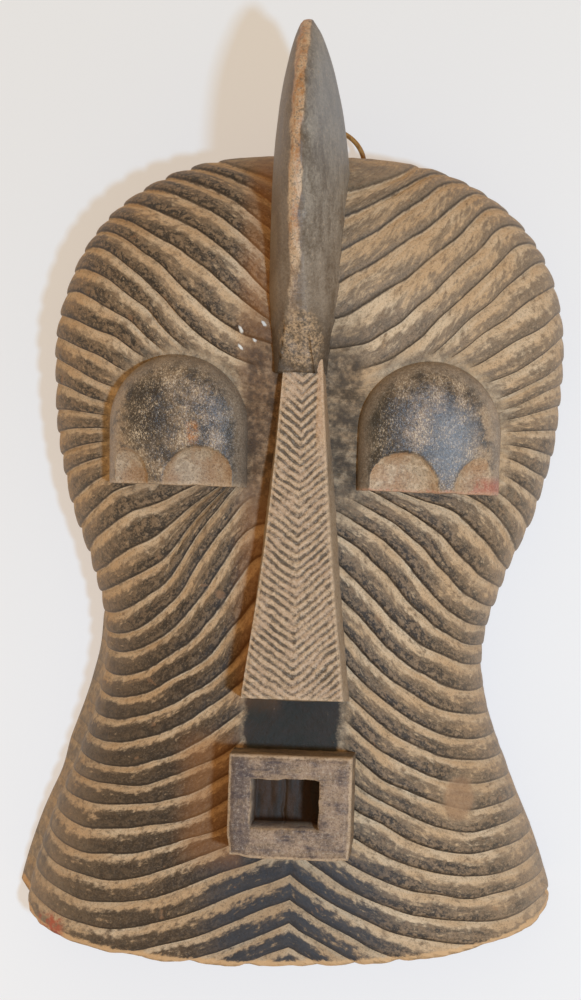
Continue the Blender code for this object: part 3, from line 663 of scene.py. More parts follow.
def hollow_grid():
    """The hollow's surface: the head's form less its walls, in columns running from the crown to the cut."""
    top = CROWN_Y - RIM_WALL
    turn = np.linspace(0.0, 1.0, HOLLOW_ROWS)[:, None] ** HOLLOW_SPREAD
    share = np.sin(0.5 * np.pi * np.linspace(-1.0, 1.0, 2 * HOLLOW_COLUMNS + 1))[None, :]
    end = np.full_like(share, CUT_Y - HOLLOW_FIRST_DROP)
    for _ in range(HOLLOW_REPEATS):
        y = top - (top - end) * turn
        near_top = fade(y, HOLLOW_TOP_FADE_Y, top)
        width = half_width(y + RIM_WALL * near_top) - RIM_WALL * (1.0 - near_top)
        middle = face_height(y + RIM_WALL * near_top) - FACE_WALL * (1.0 - near_top)
        side = smooth(SIDE_WALLS, y) - HOLLOW_SIDE_WALL
        x = width * share + smooth(LEAN, y) * share ** 2
        z = side + np.maximum(middle - side, 0.0) * vault(share)
        end = CUT_Y + CUT_TILT * x[-1:] + CUT_SLOPE * z[-1:]
    dome = np.stack([x, y, z], axis=-1)
    marks = ADZE_DEPTH * noise(dome, (ADZE_SIZE, 1.6 * ADZE_SIZE, ADZE_SIZE), 81, 2)
    dome[1:-1, 1:-1, 2] += (marks * fade(z, 0.0, 40.0))[1:-1, 1:-1]
    low = dome[:, [0, -1]].copy()
    low[..., 2] = 0.0
    low[-1, :, 1] = CUT_Y + CUT_TILT * low[-1, :, 0]
    return np.concatenate([low[:, :1], dome, low[:, 1:]], axis=1)


def close_shell(corners):
    """Fill the flat rim and the flat cut between the outer skin and the hollow."""
    def fill(shape):
        found = []
        for corner in corners:
            goal = Vector(place(corner))
            found.append(min((v for v in shape.verts if v.is_boundary), key=lambda v: (v.co - goal).length))
        bridges = [shape.edges.new((found[0], found[1])), shape.edges.new((found[2], found[3]))]
        open_edges = [edge for edge in shape.edges if edge.is_boundary]
        rim = [edge for edge in open_edges if max(vert.co.z for vert in edge.verts) < WELD * MM]
        chin = [edge for edge in open_edges if edge not in set(rim)]
        bmesh.ops.triangle_fill(shape, use_beauty=True, use_dissolve=False, edges=rim + bridges)
        bmesh.ops.triangle_fill(shape, use_beauty=True, use_dissolve=False, edges=chin + bridges)
    return fill


def carve_face(material):
    """The face shell: fluted outside, hollow inside, closed along the rim and the cut."""
    grid, values = face_grid()
    grid = cut_off(grid)
    hollow = hollow_grid()
    rows, columns = grid.shape[:2]
    inner_rows, inner_columns = hollow.shape[:2]
    faces = grid_faces(rows, columns) + grid_faces(inner_rows, inner_columns, rows * columns)
    points = np.concatenate([grid.reshape(-1, 3), hollow.reshape(-1, 3)])
    inner = inner_rows * inner_columns
    merged = {key: np.concatenate([value.ravel(), np.zeros(inner)]) for key, value in values.items()}
    merged["inside"] = np.concatenate([np.zeros(rows * columns), np.ones(inner)])
    corners = (grid[-1, 0], hollow[-1, 0], grid[-1, -1], hollow[-1, -1])
    mesh = build_mesh("face_shell", points, faces, merged, close_shell(corners))
    piece = add_piece("face_shell", mesh, material)
    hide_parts("mask")


# Crest, nose, eyes and mouth

def carve_crest(material):
    """The comb: at each station a rounded-triangle section from the heart of the head out to the ridge."""
    turn = np.linspace(0.0, 1.0, CREST_STATIONS)
    known = np.linspace(0.0, 1.0, len(CREST_RIDGE))
    ridge = np.stack([smooth(list(zip(known, axis)), turn) for axis in zip(*CREST_RIDGE)], axis=-1)
    heart = np.stack([smooth(list(zip(known, axis)), turn) for axis in zip(*CREST_HEART)], axis=-1)
    base = smooth(CREST_HALF_WIDTHS, turn)[:, None]
    edge = smooth(CREST_RIDGE_HALF_WIDTHS, turn)[:, None]
    rise = np.sin(0.5 * np.pi * np.linspace(0.0, 1.0, CREST_SIDE_STEPS))[None, :]
    spread = edge + (base - edge) * (1.0 - rise ** 2) ** CREST_SHAPE_POWER
    across = np.linspace(1.0, -1.0, CREST_TOP_STEPS + 2)[None, 1:-1]
    peak = 1.0 + CREST_PEAK * np.sqrt(1.0 - across ** 2)
    x = np.concatenate([spread, edge * across, -spread[:, ::-1]], axis=1)
    level = np.concatenate([rise + 0.0 * spread, peak + 0.0 * edge, rise[:, ::-1] + 0.0 * spread], axis=1)
    x = x + CREST_LEAN * np.minimum(level, 1.0)
    out = heart[:, None, :] + (ridge - heart)[:, None, :] * level[..., None]
    grid = np.concatenate([x[..., None], out], axis=-1)
    below = (1.0 - np.minimum(level, 1.0)) * np.linalg.norm(ridge - heart, axis=-1)[:, None]
    top = np.exp(-(below / CREST_WEAR_REACH) ** 2)
    ridge_width = edge * 0.3 + 1.3 * noise(grid, (30.0, 7.0, 7.0), 105, 2)
    rubbed = 1.0 - fade(np.abs(x - CREST_LEAN + RIDGE_LEAN), ridge_width, ridge_width + CREST_RUB_FADE)
    rubbed = rubbed * fade(level, 0.8, 0.95) * (0.45 + 0.55 * fade(grid[..., 1], *CREST_RUB_Y))
    sink = 0.30 * noise(grid, (8.0, 22.0, 14.0), 102, 2)
    sink = sink + top * (0.45 + 0.9 * noise(grid, (5.0, 9.0, 9.0), 101, 3))
    sink = sink + 1.1 * top * fade(noise(grid, (12.0, 11.0, 11.0), 103), 0.25, 0.7)
    knob = spot(grid, *CREST_KNOB) * fade(grid[..., 2], *CREST_KNOB_Z)
    sink = sink + knob * CREST_KNOB_DEPTH * noise(grid, 3.6, 104, 2)
    grid = grid - normals_of(grid) * sink[..., None]
    values = {"ridge": rubbed.ravel(), "knob": knob.ravel(), "right": fade(x, -1.0, 1.0).ravel()}
    mesh = build_mesh("crest", grid.reshape(-1, 3), closed_rings(grid), values)
    add_piece("crest", mesh, material)


def carve_nose(material):
    """The nose wedge: its front is a grid across u and down y, cut by strokes that rise from the middle.

    A stroke's phase is (y - slope * |x|) / pitch; the groove is a rounded trough over that phase.
    """
    u = np.sin(0.5 * np.pi * np.linspace(-1.0, 1.0, NOSE_COLUMNS) * NOSE_BUNCH)[None, :]
    u = u / u.max()
    y = np.linspace(NOSE_TOP_Y, NOSE_TIP_Y, NOSE_ROWS)[:, None]
    wide = smooth(NOSE_HALF_WIDTHS, y)
    x = wide * u
    flat = np.stack(np.broadcast_arrays(x, y, 0.0 * x), axis=-1)
    sway = 0.26 * noise(flat, (9.0, 14.0, 9.0), 201) + 0.09 * noise(flat, 3.0, 202)
    slope = np.where(x < 0.0, *CHEVRON_SLOPES)
    phase = (y - slope * np.abs(x)) / CHEVRON_PITCH + sway
    groove = fade(0.5 + 0.5 * np.cos(2.0 * np.pi * phase), *CHEVRON_EDGE)
    wear = noise(flat, (11.0, 16.0, 9.0), 203, 2)
    margin = 1.0 - fade(wide - np.abs(x), 0.0, 1.6)
    bare = fade(x, *NOSE_BARE_X) * fade(y, *NOSE_BARE_Y)
    depth = CHEVRON_DEPTH * (0.75 + 0.5 * wear) * (1.0 - 0.5 * margin) * (1.0 - bare)
    depth = depth * (1.0 - fade(y, CHEVRON_TOP_Y, NOSE_TOP_Y - 2.0))
    edge = np.minimum(wide - np.abs(x), 0.8 * (y - NOSE_TIP_Y))
    worn = np.exp(-(np.maximum(edge, 0.0) / NOSE_EDGE_REACH) ** 2)
    z = smooth(NOSE_FRONTS, y) - depth * groove - worn * (NOSE_EDGE_DEPTH + 0.7 * noise(flat, 4.0, 204, 2))
    z = z + 0.16 * noise(flat, 2.4, 205, 2)
    grid = np.stack(np.broadcast_arrays(x, y, z), axis=-1)
    values = {"groove": groove * (1.0 - bare) * (0.8 + 0.4 * wear), "worn": worn, "bare": bare}
    mesh = block("nose", grid, NOSE_DRAFT, values, 206, 0.35)
    add_piece("nose", mesh, material)


def carve_eyes(material):
    """The eye hoods: a footprint with an arched top; height falls with the distance from a spine,
    and two egg-shaped gouges lower it along the bottom edge."""
    for side, name in ((-1.0, "eye_hood_left"), (1.0, "eye_hood_right")):
        u = np.sin(0.5 * np.pi * np.linspace(-1.0, 1.0, EYE_STEPS))[None, :]
        v = np.sin(0.5 * np.pi * np.linspace(0.0, 1.0, EYE_STEPS))[:, None]
        top = EYE_ARCH_Y + EYE_HALF_WIDTH * np.sqrt(np.maximum(1.0 - u ** 2, 0.0))
        x = EYE_HALF_WIDTH * u + 0.0 * v
        y = EYE_BOTTOM_Y + (top - EYE_BOTTOM_Y) * v
        ring = np.sqrt(x ** 2 + np.maximum(y - EYE_ARCH_Y, 0.0) ** 2) / EYE_HALF_WIDTH
        along, up = EYE_POWERS
        edge_z = EYE_EDGE_Z + EYE_CLIMB * (y - EYE_BOTTOM_Y) - EYE_TILT * x
        z = edge_z + EYE_RISE * np.maximum(1.0 - np.minimum(ring, 1.0) ** along, 0.0) ** (1.0 / up)
        flat = np.stack([side * (EYE_X + x), y, 0.0 * x], axis=-1)
        z = z + 0.35 * noise(flat, 11.0, 301, 2) + 0.10 * noise(flat, 2.5, 302)
        scoop = np.zeros_like(z)
        for offset, (rx, ry, rz) in SCOOPS:
            wobble = 1.0 + 0.05 * noise(flat, 7.0, 303, 2)
            away = (((x - offset) / rx) ** 2 + ((y - EYE_BOTTOM_Y) / ry) ** 2) * wobble
            middle = EYE_EDGE_Z + EYE_RISE - EYE_TILT * offset
            bowl = middle - rz * np.sqrt(np.maximum(1.0 - away, 0.0))
            cut = (away < 1.0) & (bowl < z)
            z = np.where(cut, bowl, z)
            scoop = np.where(cut, 1.0, scoop)
        low = np.exp(-((y - EYE_BOTTOM_Y) / EYE_LIP_REACH) ** 2)
        z = z - low * (0.5 + 0.5 * noise(flat, 4.0, 304, 2))
        y = y + 0.55 * low * noise(flat, 5.0, 307, 2)
        grid = np.stack([side * (EYE_X + x), y, z], axis=-1)
        values = {
            "scoop": scoop, "hood_rim": fade(ring, 0.66, 0.98), "lip": low,
            "inner": fade(-x / EYE_HALF_WIDTH, 0.45, 0.95), "outer": fade(x / EYE_HALF_WIDTH, 0.55, 0.9),
        }
        turn = slice(None, None, int(side))
        values = {key: value[:, turn] for key, value in values.items()}
        mesh = block(name, grid[:, turn], EYE_DRAFT, values, 305)
        add_piece(name, mesh, material)


def wall_lines(low, high, walls):
    """Grid lines from low to high, a step apart, with a close pair at each wall."""
    stops = [low] + [wall + gap for wall in walls for gap in (-WALL_GAP, WALL_GAP)] + [high]
    parts = [np.linspace(a, b, max(2, int((b - a) / MOUTH_STEP) + 1))[:-1] for a, b in zip(stops, stops[1:])]
    return np.concatenate(parts + [[high]])


def carve_mouth(material):
    """The mouth box: a flat front with worn edges; close pairs of grid lines wall its blind recess."""
    xs = wall_lines(MOUTH_LEFT, MOUTH_RIGHT, (RECESS_LEFT, RECESS_RIGHT))[None, :]
    ys = wall_lines(MOUTH_BOTTOM_Y, MOUTH_TOP_Y, (RECESS_BOTTOM_Y, RECESS_TOP_Y))[::-1][:, None]
    x, y = np.broadcast_arrays(xs, ys)
    flat = np.stack([x, y, 0.0 * x], axis=-1)
    within = (x > RECESS_LEFT) & (x < RECESS_RIGHT) & (y > RECESS_BOTTOM_Y) & (y < RECESS_TOP_Y)
    sides = np.minimum.reduce([x - MOUTH_LEFT, MOUTH_RIGHT - x, y - MOUTH_BOTTOM_Y, MOUTH_TOP_Y - y])
    gap_x = np.maximum(RECESS_LEFT - x, x - RECESS_RIGHT)
    gap_y = np.maximum(RECESS_BOTTOM_Y - y, y - RECESS_TOP_Y)
    lip = np.hypot(np.maximum(gap_x, 0.0), np.maximum(gap_y, 0.0))
    worn = np.exp(-(sides / MOUTH_EDGE_REACH) ** 2)
    chipped = np.exp(-(lip / MOUTH_LIP_REACH) ** 2) * ~within
    z = MOUTH_FRONT_Z - worn * (1.5 + 0.9 * noise(flat, 5.0, 401, 2))
    z = z - chipped * (0.5 + 0.8 * noise(flat, 3.2, 402, 2))
    z = z + 0.28 * noise(flat, (13.0, 6.0, 5.0), 403, 3)
    floor_z = MOUTH_FRONT_Z - RECESS_DEPTH + 0.6 * noise(flat, (4.0, 12.0, 5.0), 404, 2)
    floor_z = floor_z - 1.6 * np.exp(-((x + 4.0 + 0.8 * noise(flat, 6.0, 405)) / 0.7) ** 2)
    z = np.where(within, floor_z, z)
    near_left, near_right, near_top, near_bottom = (
        np.exp(-((at - wall) / MOUTH_WALL_REACH) ** 2)
        for at, wall in ((x, RECESS_LEFT), (x, RECESS_RIGHT), (y, RECESS_TOP_Y), (y, RECESS_BOTTOM_Y))
    )
    x = x + 0.5 * (near_left + near_right) * noise(flat * (0.0, 1.0, 1.0), 5.0, 406, 2)
    y = y + (0.9 * near_top + 0.4 * near_bottom) * noise(flat * (1.0, 0.0, 1.0), 6.0, 407, 2)
    corner = spot(flat, (MOUTH_LEFT, MOUTH_BOTTOM_Y), (14.0, 14.0))
    corner = corner + 0.5 * spot(flat, (MOUTH_RIGHT, MOUTH_BOTTOM_Y), (10.0, 10.0))
    x = x + 0.04 * corner * (0.5 * (MOUTH_LEFT + MOUTH_RIGHT) - x)
    y = y + 0.05 * corner * (0.5 * (MOUTH_TOP_Y + MOUTH_BOTTOM_Y) - y)
    z = z - 0.8 * corner * worn
    grid = np.stack([x, y, z], axis=-1)
    values = {"recess": within.astype(float), "worn": np.maximum(worn, 0.7 * chipped)}
    mesh = block("mouth_box", grid, MOUTH_DRAFT, values, 408)
    add_piece("mouth_box", mesh, material)


def bend_loop(material):
    """The cane: a circle carried along knot, hole, arc, hole and knot; its radius swells at the knots."""
    arc = np.linspace(0.0, np.pi, LOOP_STEPS)
    root_y = CROWN_Y - LOOP_ROOT_DEPTH
    knot_y = CROWN_Y - RIM_WALL - LOOP_KNOT_GAP - LOOP_KNOT_RADIUS
    arch = np.stack([LOOP_HALF_WIDTH * np.cos(arc), root_y + LOOP_RISE * np.sin(arc)], axis=-1)
    turns = np.linspace(*KNOT_TURNS, KNOT_STEPS)
    swell = LOOP_KNOT_RADIUS * np.sin(np.pi * turns) * (1.0 - 0.08 * (np.arange(KNOT_STEPS) % 2))
    swell = np.maximum(swell, CANE_RADIUS)
    knot = knot_y - LOOP_KNOT_RADIUS * np.cos(np.pi * turns)
    hole = np.linspace(knot_y + LOOP_KNOT_RADIUS, root_y, HOLE_STEPS + 1)[:-1]
    start_y = np.concatenate([knot, hole])
    start = np.stack([np.full_like(start_y, LOOP_HALF_WIDTH), start_y], axis=-1)
    path = np.concatenate([start, arch, start[::-1] * np.array([-1.0, 1.0])])
    radius = np.concatenate([swell, np.full(2 * HOLE_STEPS + LOOP_STEPS, CANE_RADIUS), swell[::-1]])
    along = np.gradient(path, axis=0)
    along /= np.linalg.norm(along, axis=1, keepdims=True)
    out = np.stack([along[:, 1], -along[:, 0]], axis=-1)
    angle = np.linspace(0.0, 2.0 * np.pi, CANE_SIDES, endpoint=False)[None, :]
    fibre = 1.0 - 0.03 * (np.arange(CANE_SIDES)[None, :] % 3 == 0)
    ring_out = radius[:, None] * np.cos(angle) * fibre
    xy = path[:, None, :] + out[:, None, :] * ring_out[..., None]
    z = LOOP_Z + radius[:, None] * np.sin(angle) * fibre
    grid = np.concatenate([xy, z[..., None]], axis=-1)
    mesh = build_mesh("cane_loop", grid.reshape(-1, 3), closed_rings(grid), {})
    piece = add_piece("cane_loop", mesh, material)
    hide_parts("hanging_loop")


# Finishes

SIDES = {"left": (0, 1.0), "right": (0, -1.0), "low": (1, 1.0), "high": (1, -1.0), "below": (2, -1.0)}
PIT_STEP = (0.56, 0.75)
SPECK_STEP = (0.79, 0.97)


class Nodes:
    """Short calls for the nodes of one material; a colour is an output or the name of a paint."""

    def __init__(self, name, paint):
        self.material = bpy.data.materials.new(name)
        self.material.use_nodes = True
        self.tree = self.material.node_tree
        self.surface = self.tree.nodes["Principled BSDF"]
        self.object = self.add("TexCoord").outputs["Object"]
        self.paint = paint

    def add(self, kind, plugs=(), **settings):
        """A node of a kind with its settings; each plug is a (socket, value) pair."""
        node = self.tree.nodes.new("ShaderNode" + kind)
        for key, setting in settings.items():
            setattr(node, key, setting)
        for socket, value in plugs:
            self.plug(node.inputs[socket], value)
        return node

    def plug(self, socket, value):
        """Join a socket to an output, or set it to a number, a vector or a paint."""
        if isinstance(value, bpy.types.NodeSocket):
            self.tree.links.new(value, socket)
        else:
            socket.default_value = tuple(getattr(self.paint, value)) if isinstance(value, str) else value

    def give(self, **values):
        """Set the surface's sockets, their names written with low lines for spaces."""
        for key, value in values.items():
            self.plug(self.surface.inputs[key.replace("_", " ")], value)

    def values(self, *keys):
        """Numbers kept on the mesh's points."""
        return [self.add("Attribute", attribute_name=key).outputs["Fac"] for key in keys]

    def grain(self, scale, detail=3.0, rough=0.6, stretch=None, source=None):
        """Noise from 0 to 1; scale is in cells a metre, stretch squeezes the pattern along each axis."""
        source = source or self.object
        if stretch:
            source = self.add("Mapping", [("Vector", source), ("Scale", stretch)]).outputs["Vector"]
        plugs = [("Vector", source), ("Scale", scale), ("Detail", detail), ("Roughness", rough)]
        return self.add("TexNoise", plugs).outputs["Fac"]

    def math(self, operation, *values):
        """One step of arithmetic."""
        return self.add("Math", enumerate(values), operation=operation).outputs[0]

    def times(self, first, second):
        """The product of two numbers."""
        return self.math("MULTIPLY", first, second)

    def rest(self, share):
        """What is left of 1 beside a share."""
        return self.math("SUBTRACT", 1.0, share)

    def sum(self, *terms):
        """The sum of (source, factor) pairs and plain terms."""
        total = 0.0
        for term in terms:
            source, factor = term if isinstance(term, tuple) else (term, 1.0)
            total = self.math("MULTIPLY_ADD", source, factor, total)
        return total

    def step(self, low, high, *terms):
        """A smooth step from 0 at low to 1 at high over one source, or over the sum of several terms."""
        source = self.sum(*terms) if len(terms) > 1 else terms[0]
        plugs = [("Value", source), ("From Min", low), ("From Max", high)]
        return self.add("MapRange", plugs, interpolation_type="SMOOTHSTEP").outputs["Result"]

    def mix(self, share, first, second):
        """Two colours blended by a share."""
        return self.add("Mix", [(0, share), (6, first), (7, second)], data_type="RGBA").outputs[2]

    def over(self, colour, share, paint, strength=1.0):
        """A paint laid over a colour, by a share times a strength."""
        return self.mix(share if strength == 1.0 else self.times(share, strength), colour, paint)

    def zone(self, **sides):
        """1 inside a soft box in the carver's frame; each side given is a (place, softness) pair."""
        parts = self.add("SeparateXYZ", [(0, self.object)]).outputs
        share = None
        for side, (place_mm, soft_mm) in sides.items():
            axis, sign = SIDES[side]
            at, soft = (place_mm + SHIFT[axis]) * MM, sign * soft_mm * MM
            part = self.step(at - soft, at + soft, parts[axis])
            share = part if share is None else self.times(share, part)
        return share

    def grit(self, colour, dark=0.4, light=0.3, scale=620.0):
        """Fine dark pits and pale specks over a colour."""
        speck = self.sum((self.grain(scale, 3.0, 0.75), 1.0), (self.grain(2.6 * scale, 1.0, 0.5), 0.5))
        colour = self.over(colour, self.rest(self.step(*PIT_STEP, speck)), "crease", dark)
        return self.over(colour, self.step(*SPECK_STEP, speck), "speck", light)

    def finish(self, colour, roughness, gloss, heights):
        """The surface's colour, roughness, gloss and a stack of (height source, distance in mm) bumps."""
        self.give(Base_Color=colour, Roughness=roughness, Specular_IOR_Level=gloss)
        below = []
        for source, distance in heights:
            bump = self.add("Bump", [("Distance", distance * MM), ("Height", source)] + below)
            below = [("Normal", bump.outputs["Normal"])]
        self.give(Normal=bump.outputs["Normal"])
        return self.material


def face_finish(paint):
    """Dark soot-brown flute crowns over clay-coloured grooves, with a ragged border between them."""
    n = Nodes("fluted wood", paint)
    clay, crease, fluted, worn, chipped = n.values("clay", "crease", "fluted", "worn", "chipped")
    inside, fleck, along, across = n.values("inside", "fleck", "along", "across")
    broad, coarse = n.grain(24.0, 2.0, 0.5), n.grain(120.0, 4.0, 0.7)
    middling, fine = n.grain(380.0, 4.0, 0.7), n.grain(1300.0, 2.0, 0.6)
    flow = n.add("CombineXYZ", [(0, along), (1, across)]).outputs[0]
    long_streak = n.grain(330.0, 4.0, 0.62, (0.11, 1.0, 1.0), flow)
    short_streak = n.grain(520.0, 4.0, 0.68, (0.36, 1.0, 1.0), flow)

    # Soot over clay
    # The face's crowns are paler at the upper right and darker at the lower left
    upper_right = n.zone(left=(10.0, 40.0), low=(70.0, 70.0))
    low_left = n.zone(right=(-20.0, 50.0), high=(-70.0, 70.0))
    bias = n.sum((upper_right, -0.22), (n.zone(left=(0.0, 50.0)), -0.03), (low_left, 0.14), -2.6)
    streaks = n.sum((clay, 0.56), (long_streak, 1.7), (short_streak, 2.0))
    flute_dark = n.step(-0.34, 0.36, streaks, (middling, 0.9), (fine, 0.2), (broad, 0.5), bias)
    plain_dark = n.step(-0.4, 0.6, (coarse, 1.6), (middling, 1.2), (short_streak, 0.6), (broad, 1.2), -2.2)
    dark = n.mix(fluted, plain_dark, flute_dark)
    bottom = n.mix(n.step(0.45, 0.8, (broad, 0.6), (long_streak, 0.6)), "clay", "pale_clay")
    bottom = n.over(bottom, n.step(0.78, 1.1, (short_streak, 1.0), (coarse, 0.6)), "brown")
    soot = n.mix(n.step(0.62, 0.8, (short_streak, 0.9), (middling, 0.5)), "soot", "brown")
    soot = n.over(soot, n.step(0.84, 1.06, (middling, 0.9), (fine, 0.6)), "pale_brown")
    soot = n.over(soot, upper_right, "pale_brown", 0.62)
    soot = n.over(soot, low_left, "warm_dark", 0.7)
    colour = n.over(bottom, dark, soot)
    # Dark crease colour: dirt in the creases together with painted shade under each flute's overhanging lip
    crease_dirt_and_shade = n.step(0.75, 1.4, (crease, 1.0), (short_streak, 0.7))
    colour = n.over(colour, crease_dirt_and_shade, "crease", n.times(fluted, 0.8))
    colour = n.grit(colour, 0.4, 0.08, 760.0)

    # Chin, lip, painted orange shadow left of the crest, nose and mouth, the film beside the nose and the
    # paler low sides
    chin = n.zone(left=(-45.0, 18.0), right=(52.0, 22.0), high=(-200.0, 12.0))
    colour = n.over(colour, chin, "blue_black", n.sum((dark, 0.72), 0.18))
    lip = n.zone(left=(-28.0, 9.0), right=(25.0, 8.0), low=(-146.0, 4.0), high=(-104.0, 4.0))
    ragged = n.step(0.8, 1.15, (lip, 1.0), (coarse, 0.5), (middling, 0.5))
    colour = n.over(colour, ragged, n.mix(n.step(0.4, 0.62, coarse), "green_black", "soot"))
    # Painted orange shadow left of the mouth box
    warm = n.zone(left=(-62.0, 10.0), right=(-28.0, 4.0), low=(-205.0, 10.0), high=(-135.0, 10.0))
    colour = n.over(colour, warm, "rust_and_shadow_orange", 0.4)
    # Painted orange shadow left of the crest and the nose
    left_side = n.zone(left=(-34.0, 8.0), right=(-9.0, 4.0), low=(-112.0, 12.0), high=(196.0, 20.0))
    colour = n.over(colour, left_side, "rust_and_shadow_orange", n.sum((coarse, 0.4), 0.24))
    beside = n.zone(left=(-33.0, 4.0), right=(33.0, 4.0), low=(0.0, 25.0), high=(96.0, 22.0))
    film = n.step(0.62, 1.0, (coarse, 1.0), (middling, 0.7))
    colour = n.over(colour, beside, "soot", n.sum((film, 0.5), 0.28))
    # Paler low on the sides, below about 46 mm
    colour = n.over(colour, n.zone(below=(46.0, 30.0)), "pale_low_sides", 0.34)

    # Worn edge, pigment, flecks and chips, and the raw hollow
    bare = n.step(1.12, 1.45, (worn, 1.0), (short_streak, 1.1), (coarse, 0.7))
    colour = n.over(colour, bare, "bare_edge", 0.85)
    pigment = n.zone(left=(-149.0, 3.0), right=(-134.0, 3.0), low=(-263.0, 4.0), high=(-246.0, 3.0))
    colour = n.over(colour, pigment, "red", n.step(0.4, 0.6, coarse))
    colour = n.over(colour, n.step(0.3, 0.7, fleck), "chalk")
    colour = n.over(colour, n.step(0.7, 1.1, (chipped, 1.0), (fine, 0.5)), "chip", 0.55)
    raw_grain = n.grain(60.0, 4.0, 0.6, (1.0, 0.12, 1.0))
    colour = n.over(colour, inside, n.mix(n.step(0.4, 0.65, raw_grain), "raw", "brown"))
    roughness = n.sum((dark, -0.22), (middling, 0.2), 0.72)
    return n.finish(colour, roughness, 0.35, ((short_streak, 0.8), (middling, 0.4), (fine, 0.22)))


def crest_finish(paint):
    """A smoky grey-brown comb with long streaks, its ridge worn to pale and orange wood; painted brown shade
    on its left side and a painted blue-grey highlight high on its right.
    """
    n = Nodes("crest wood", paint)
    ridge, knob, right = n.values("ridge", "knob", "right")
    streak = n.grain(150.0, 5.0, 0.65, (1.0, 0.28, 0.5))
    middling, fine = n.grain(420.0, 4.0, 0.7), n.grain(1400.0, 2.0, 0.6)
    body = n.mix(n.step(0.52, 0.98, (streak, 1.0), (middling, 0.5)), "crest_dark", "crest_grey")
    body = n.over(body, n.times(n.zone(high=(140.0, 50.0)), streak), "brown", 0.9)
    # Painted blue-grey highlight high on the crest's right side
    body = n.over(body, n.zone(left=(3.0, 6.0), low=(196.0, 24.0), high=(252.0, 14.0)), "sheen_blue_grey", 0.5)
    body = n.over(body, n.step(0.9, 1.15, (middling, 1.0), (fine, 0.6)), "clay", 0.6)
    # Painted shade: the crest's left side, away from the light, is painted brown
    body = n.over(body, n.rest(right), "crest_left_shade", 0.55)
    worn = n.mix(n.step(0.66, 1.0, (streak, 1.0), (middling, 0.7)), "orange_wood", "pale_wood")
    worn = n.over(worn, n.step(0.72, 0.94, (middling, 1.0), (fine, 0.5)), "crest_dark", 0.75)
    colour = n.over(body, n.step(1.15, 1.55, (ridge, 1.0), (streak, 0.9), (middling, 0.8)), worn)
    crust = n.step(0.95, 1.5, (n.zone(high=(104.0, 34.0)), 0.9), (middling, 0.9), (fine, 0.4))
    colour = n.over(colour, crust, "warm_dark", 0.75)
    crumbs = n.step(0.56, 0.86, (n.grain(700.0, 3.0, 0.7), 0.7), (middling, 0.7))
    knotted = n.step(0.75, 1.4, (knob, 1.0), (middling, 1.0))
    colour = n.over(colour, knotted, n.mix(crumbs, "crest_dark", "clay"), 0.75)
    colour = n.grit(colour, 0.3, 0.12)
    roughness = n.sum((streak, 0.3), (middling, 0.2), 0.25)
    return n.finish(colour, roughness, 0.5, ((streak, 0.5), (middling, 0.35), (fine, 0.2)))


def nose_finish(paint):
    """Worn tan ridges over dark strokes, bare orange wood at the edges."""
    n = Nodes("nose wood", paint)
    groove, worn, side, bare = n.values("groove", "worn", "side", "bare")
    coarse, middling, fine = n.grain(110.0, 3.0, 0.6), n.grain(450.0, 4.0, 0.7), n.grain(1500.0, 2.0, 0.6)
    ridge = n.mix(n.step(0.35, 0.65, coarse), "nose_tan", "pale_wood")
    ridge = n.over(ridge, n.step(0.7, 1.0, (middling, 1.0), (fine, 0.5)), "brown", 0.6)
    stroke = n.step(-0.05, 0.85, (groove, 0.9), (coarse, 1.6), (middling, 1.6), (fine, 0.8), -2.1)
    colour = n.over(ridge, stroke, "nose_groove", 0.9)
    flank = n.step(0.35, 0.65, n.grain(200.0, 4.0, 0.7, (1.0, 0.5, 0.3)))
    colour = n.over(colour, side, n.mix(flank, "soot", "grey"))
    colour = n.over(colour, bare, "orange_wood", 0.4)
    edge = n.step(0.9, 1.4, (worn, 1.0), (middling, 0.7), (coarse, 0.4))
    colour = n.over(colour, edge, "pale_wood", 0.5)
    colour = n.grit(colour, 0.4, 0.35)
    return n.finish(colour, n.sum((middling, 0.25), 0.5), 0.35, ((middling, 0.45), (fine, 0.3)))


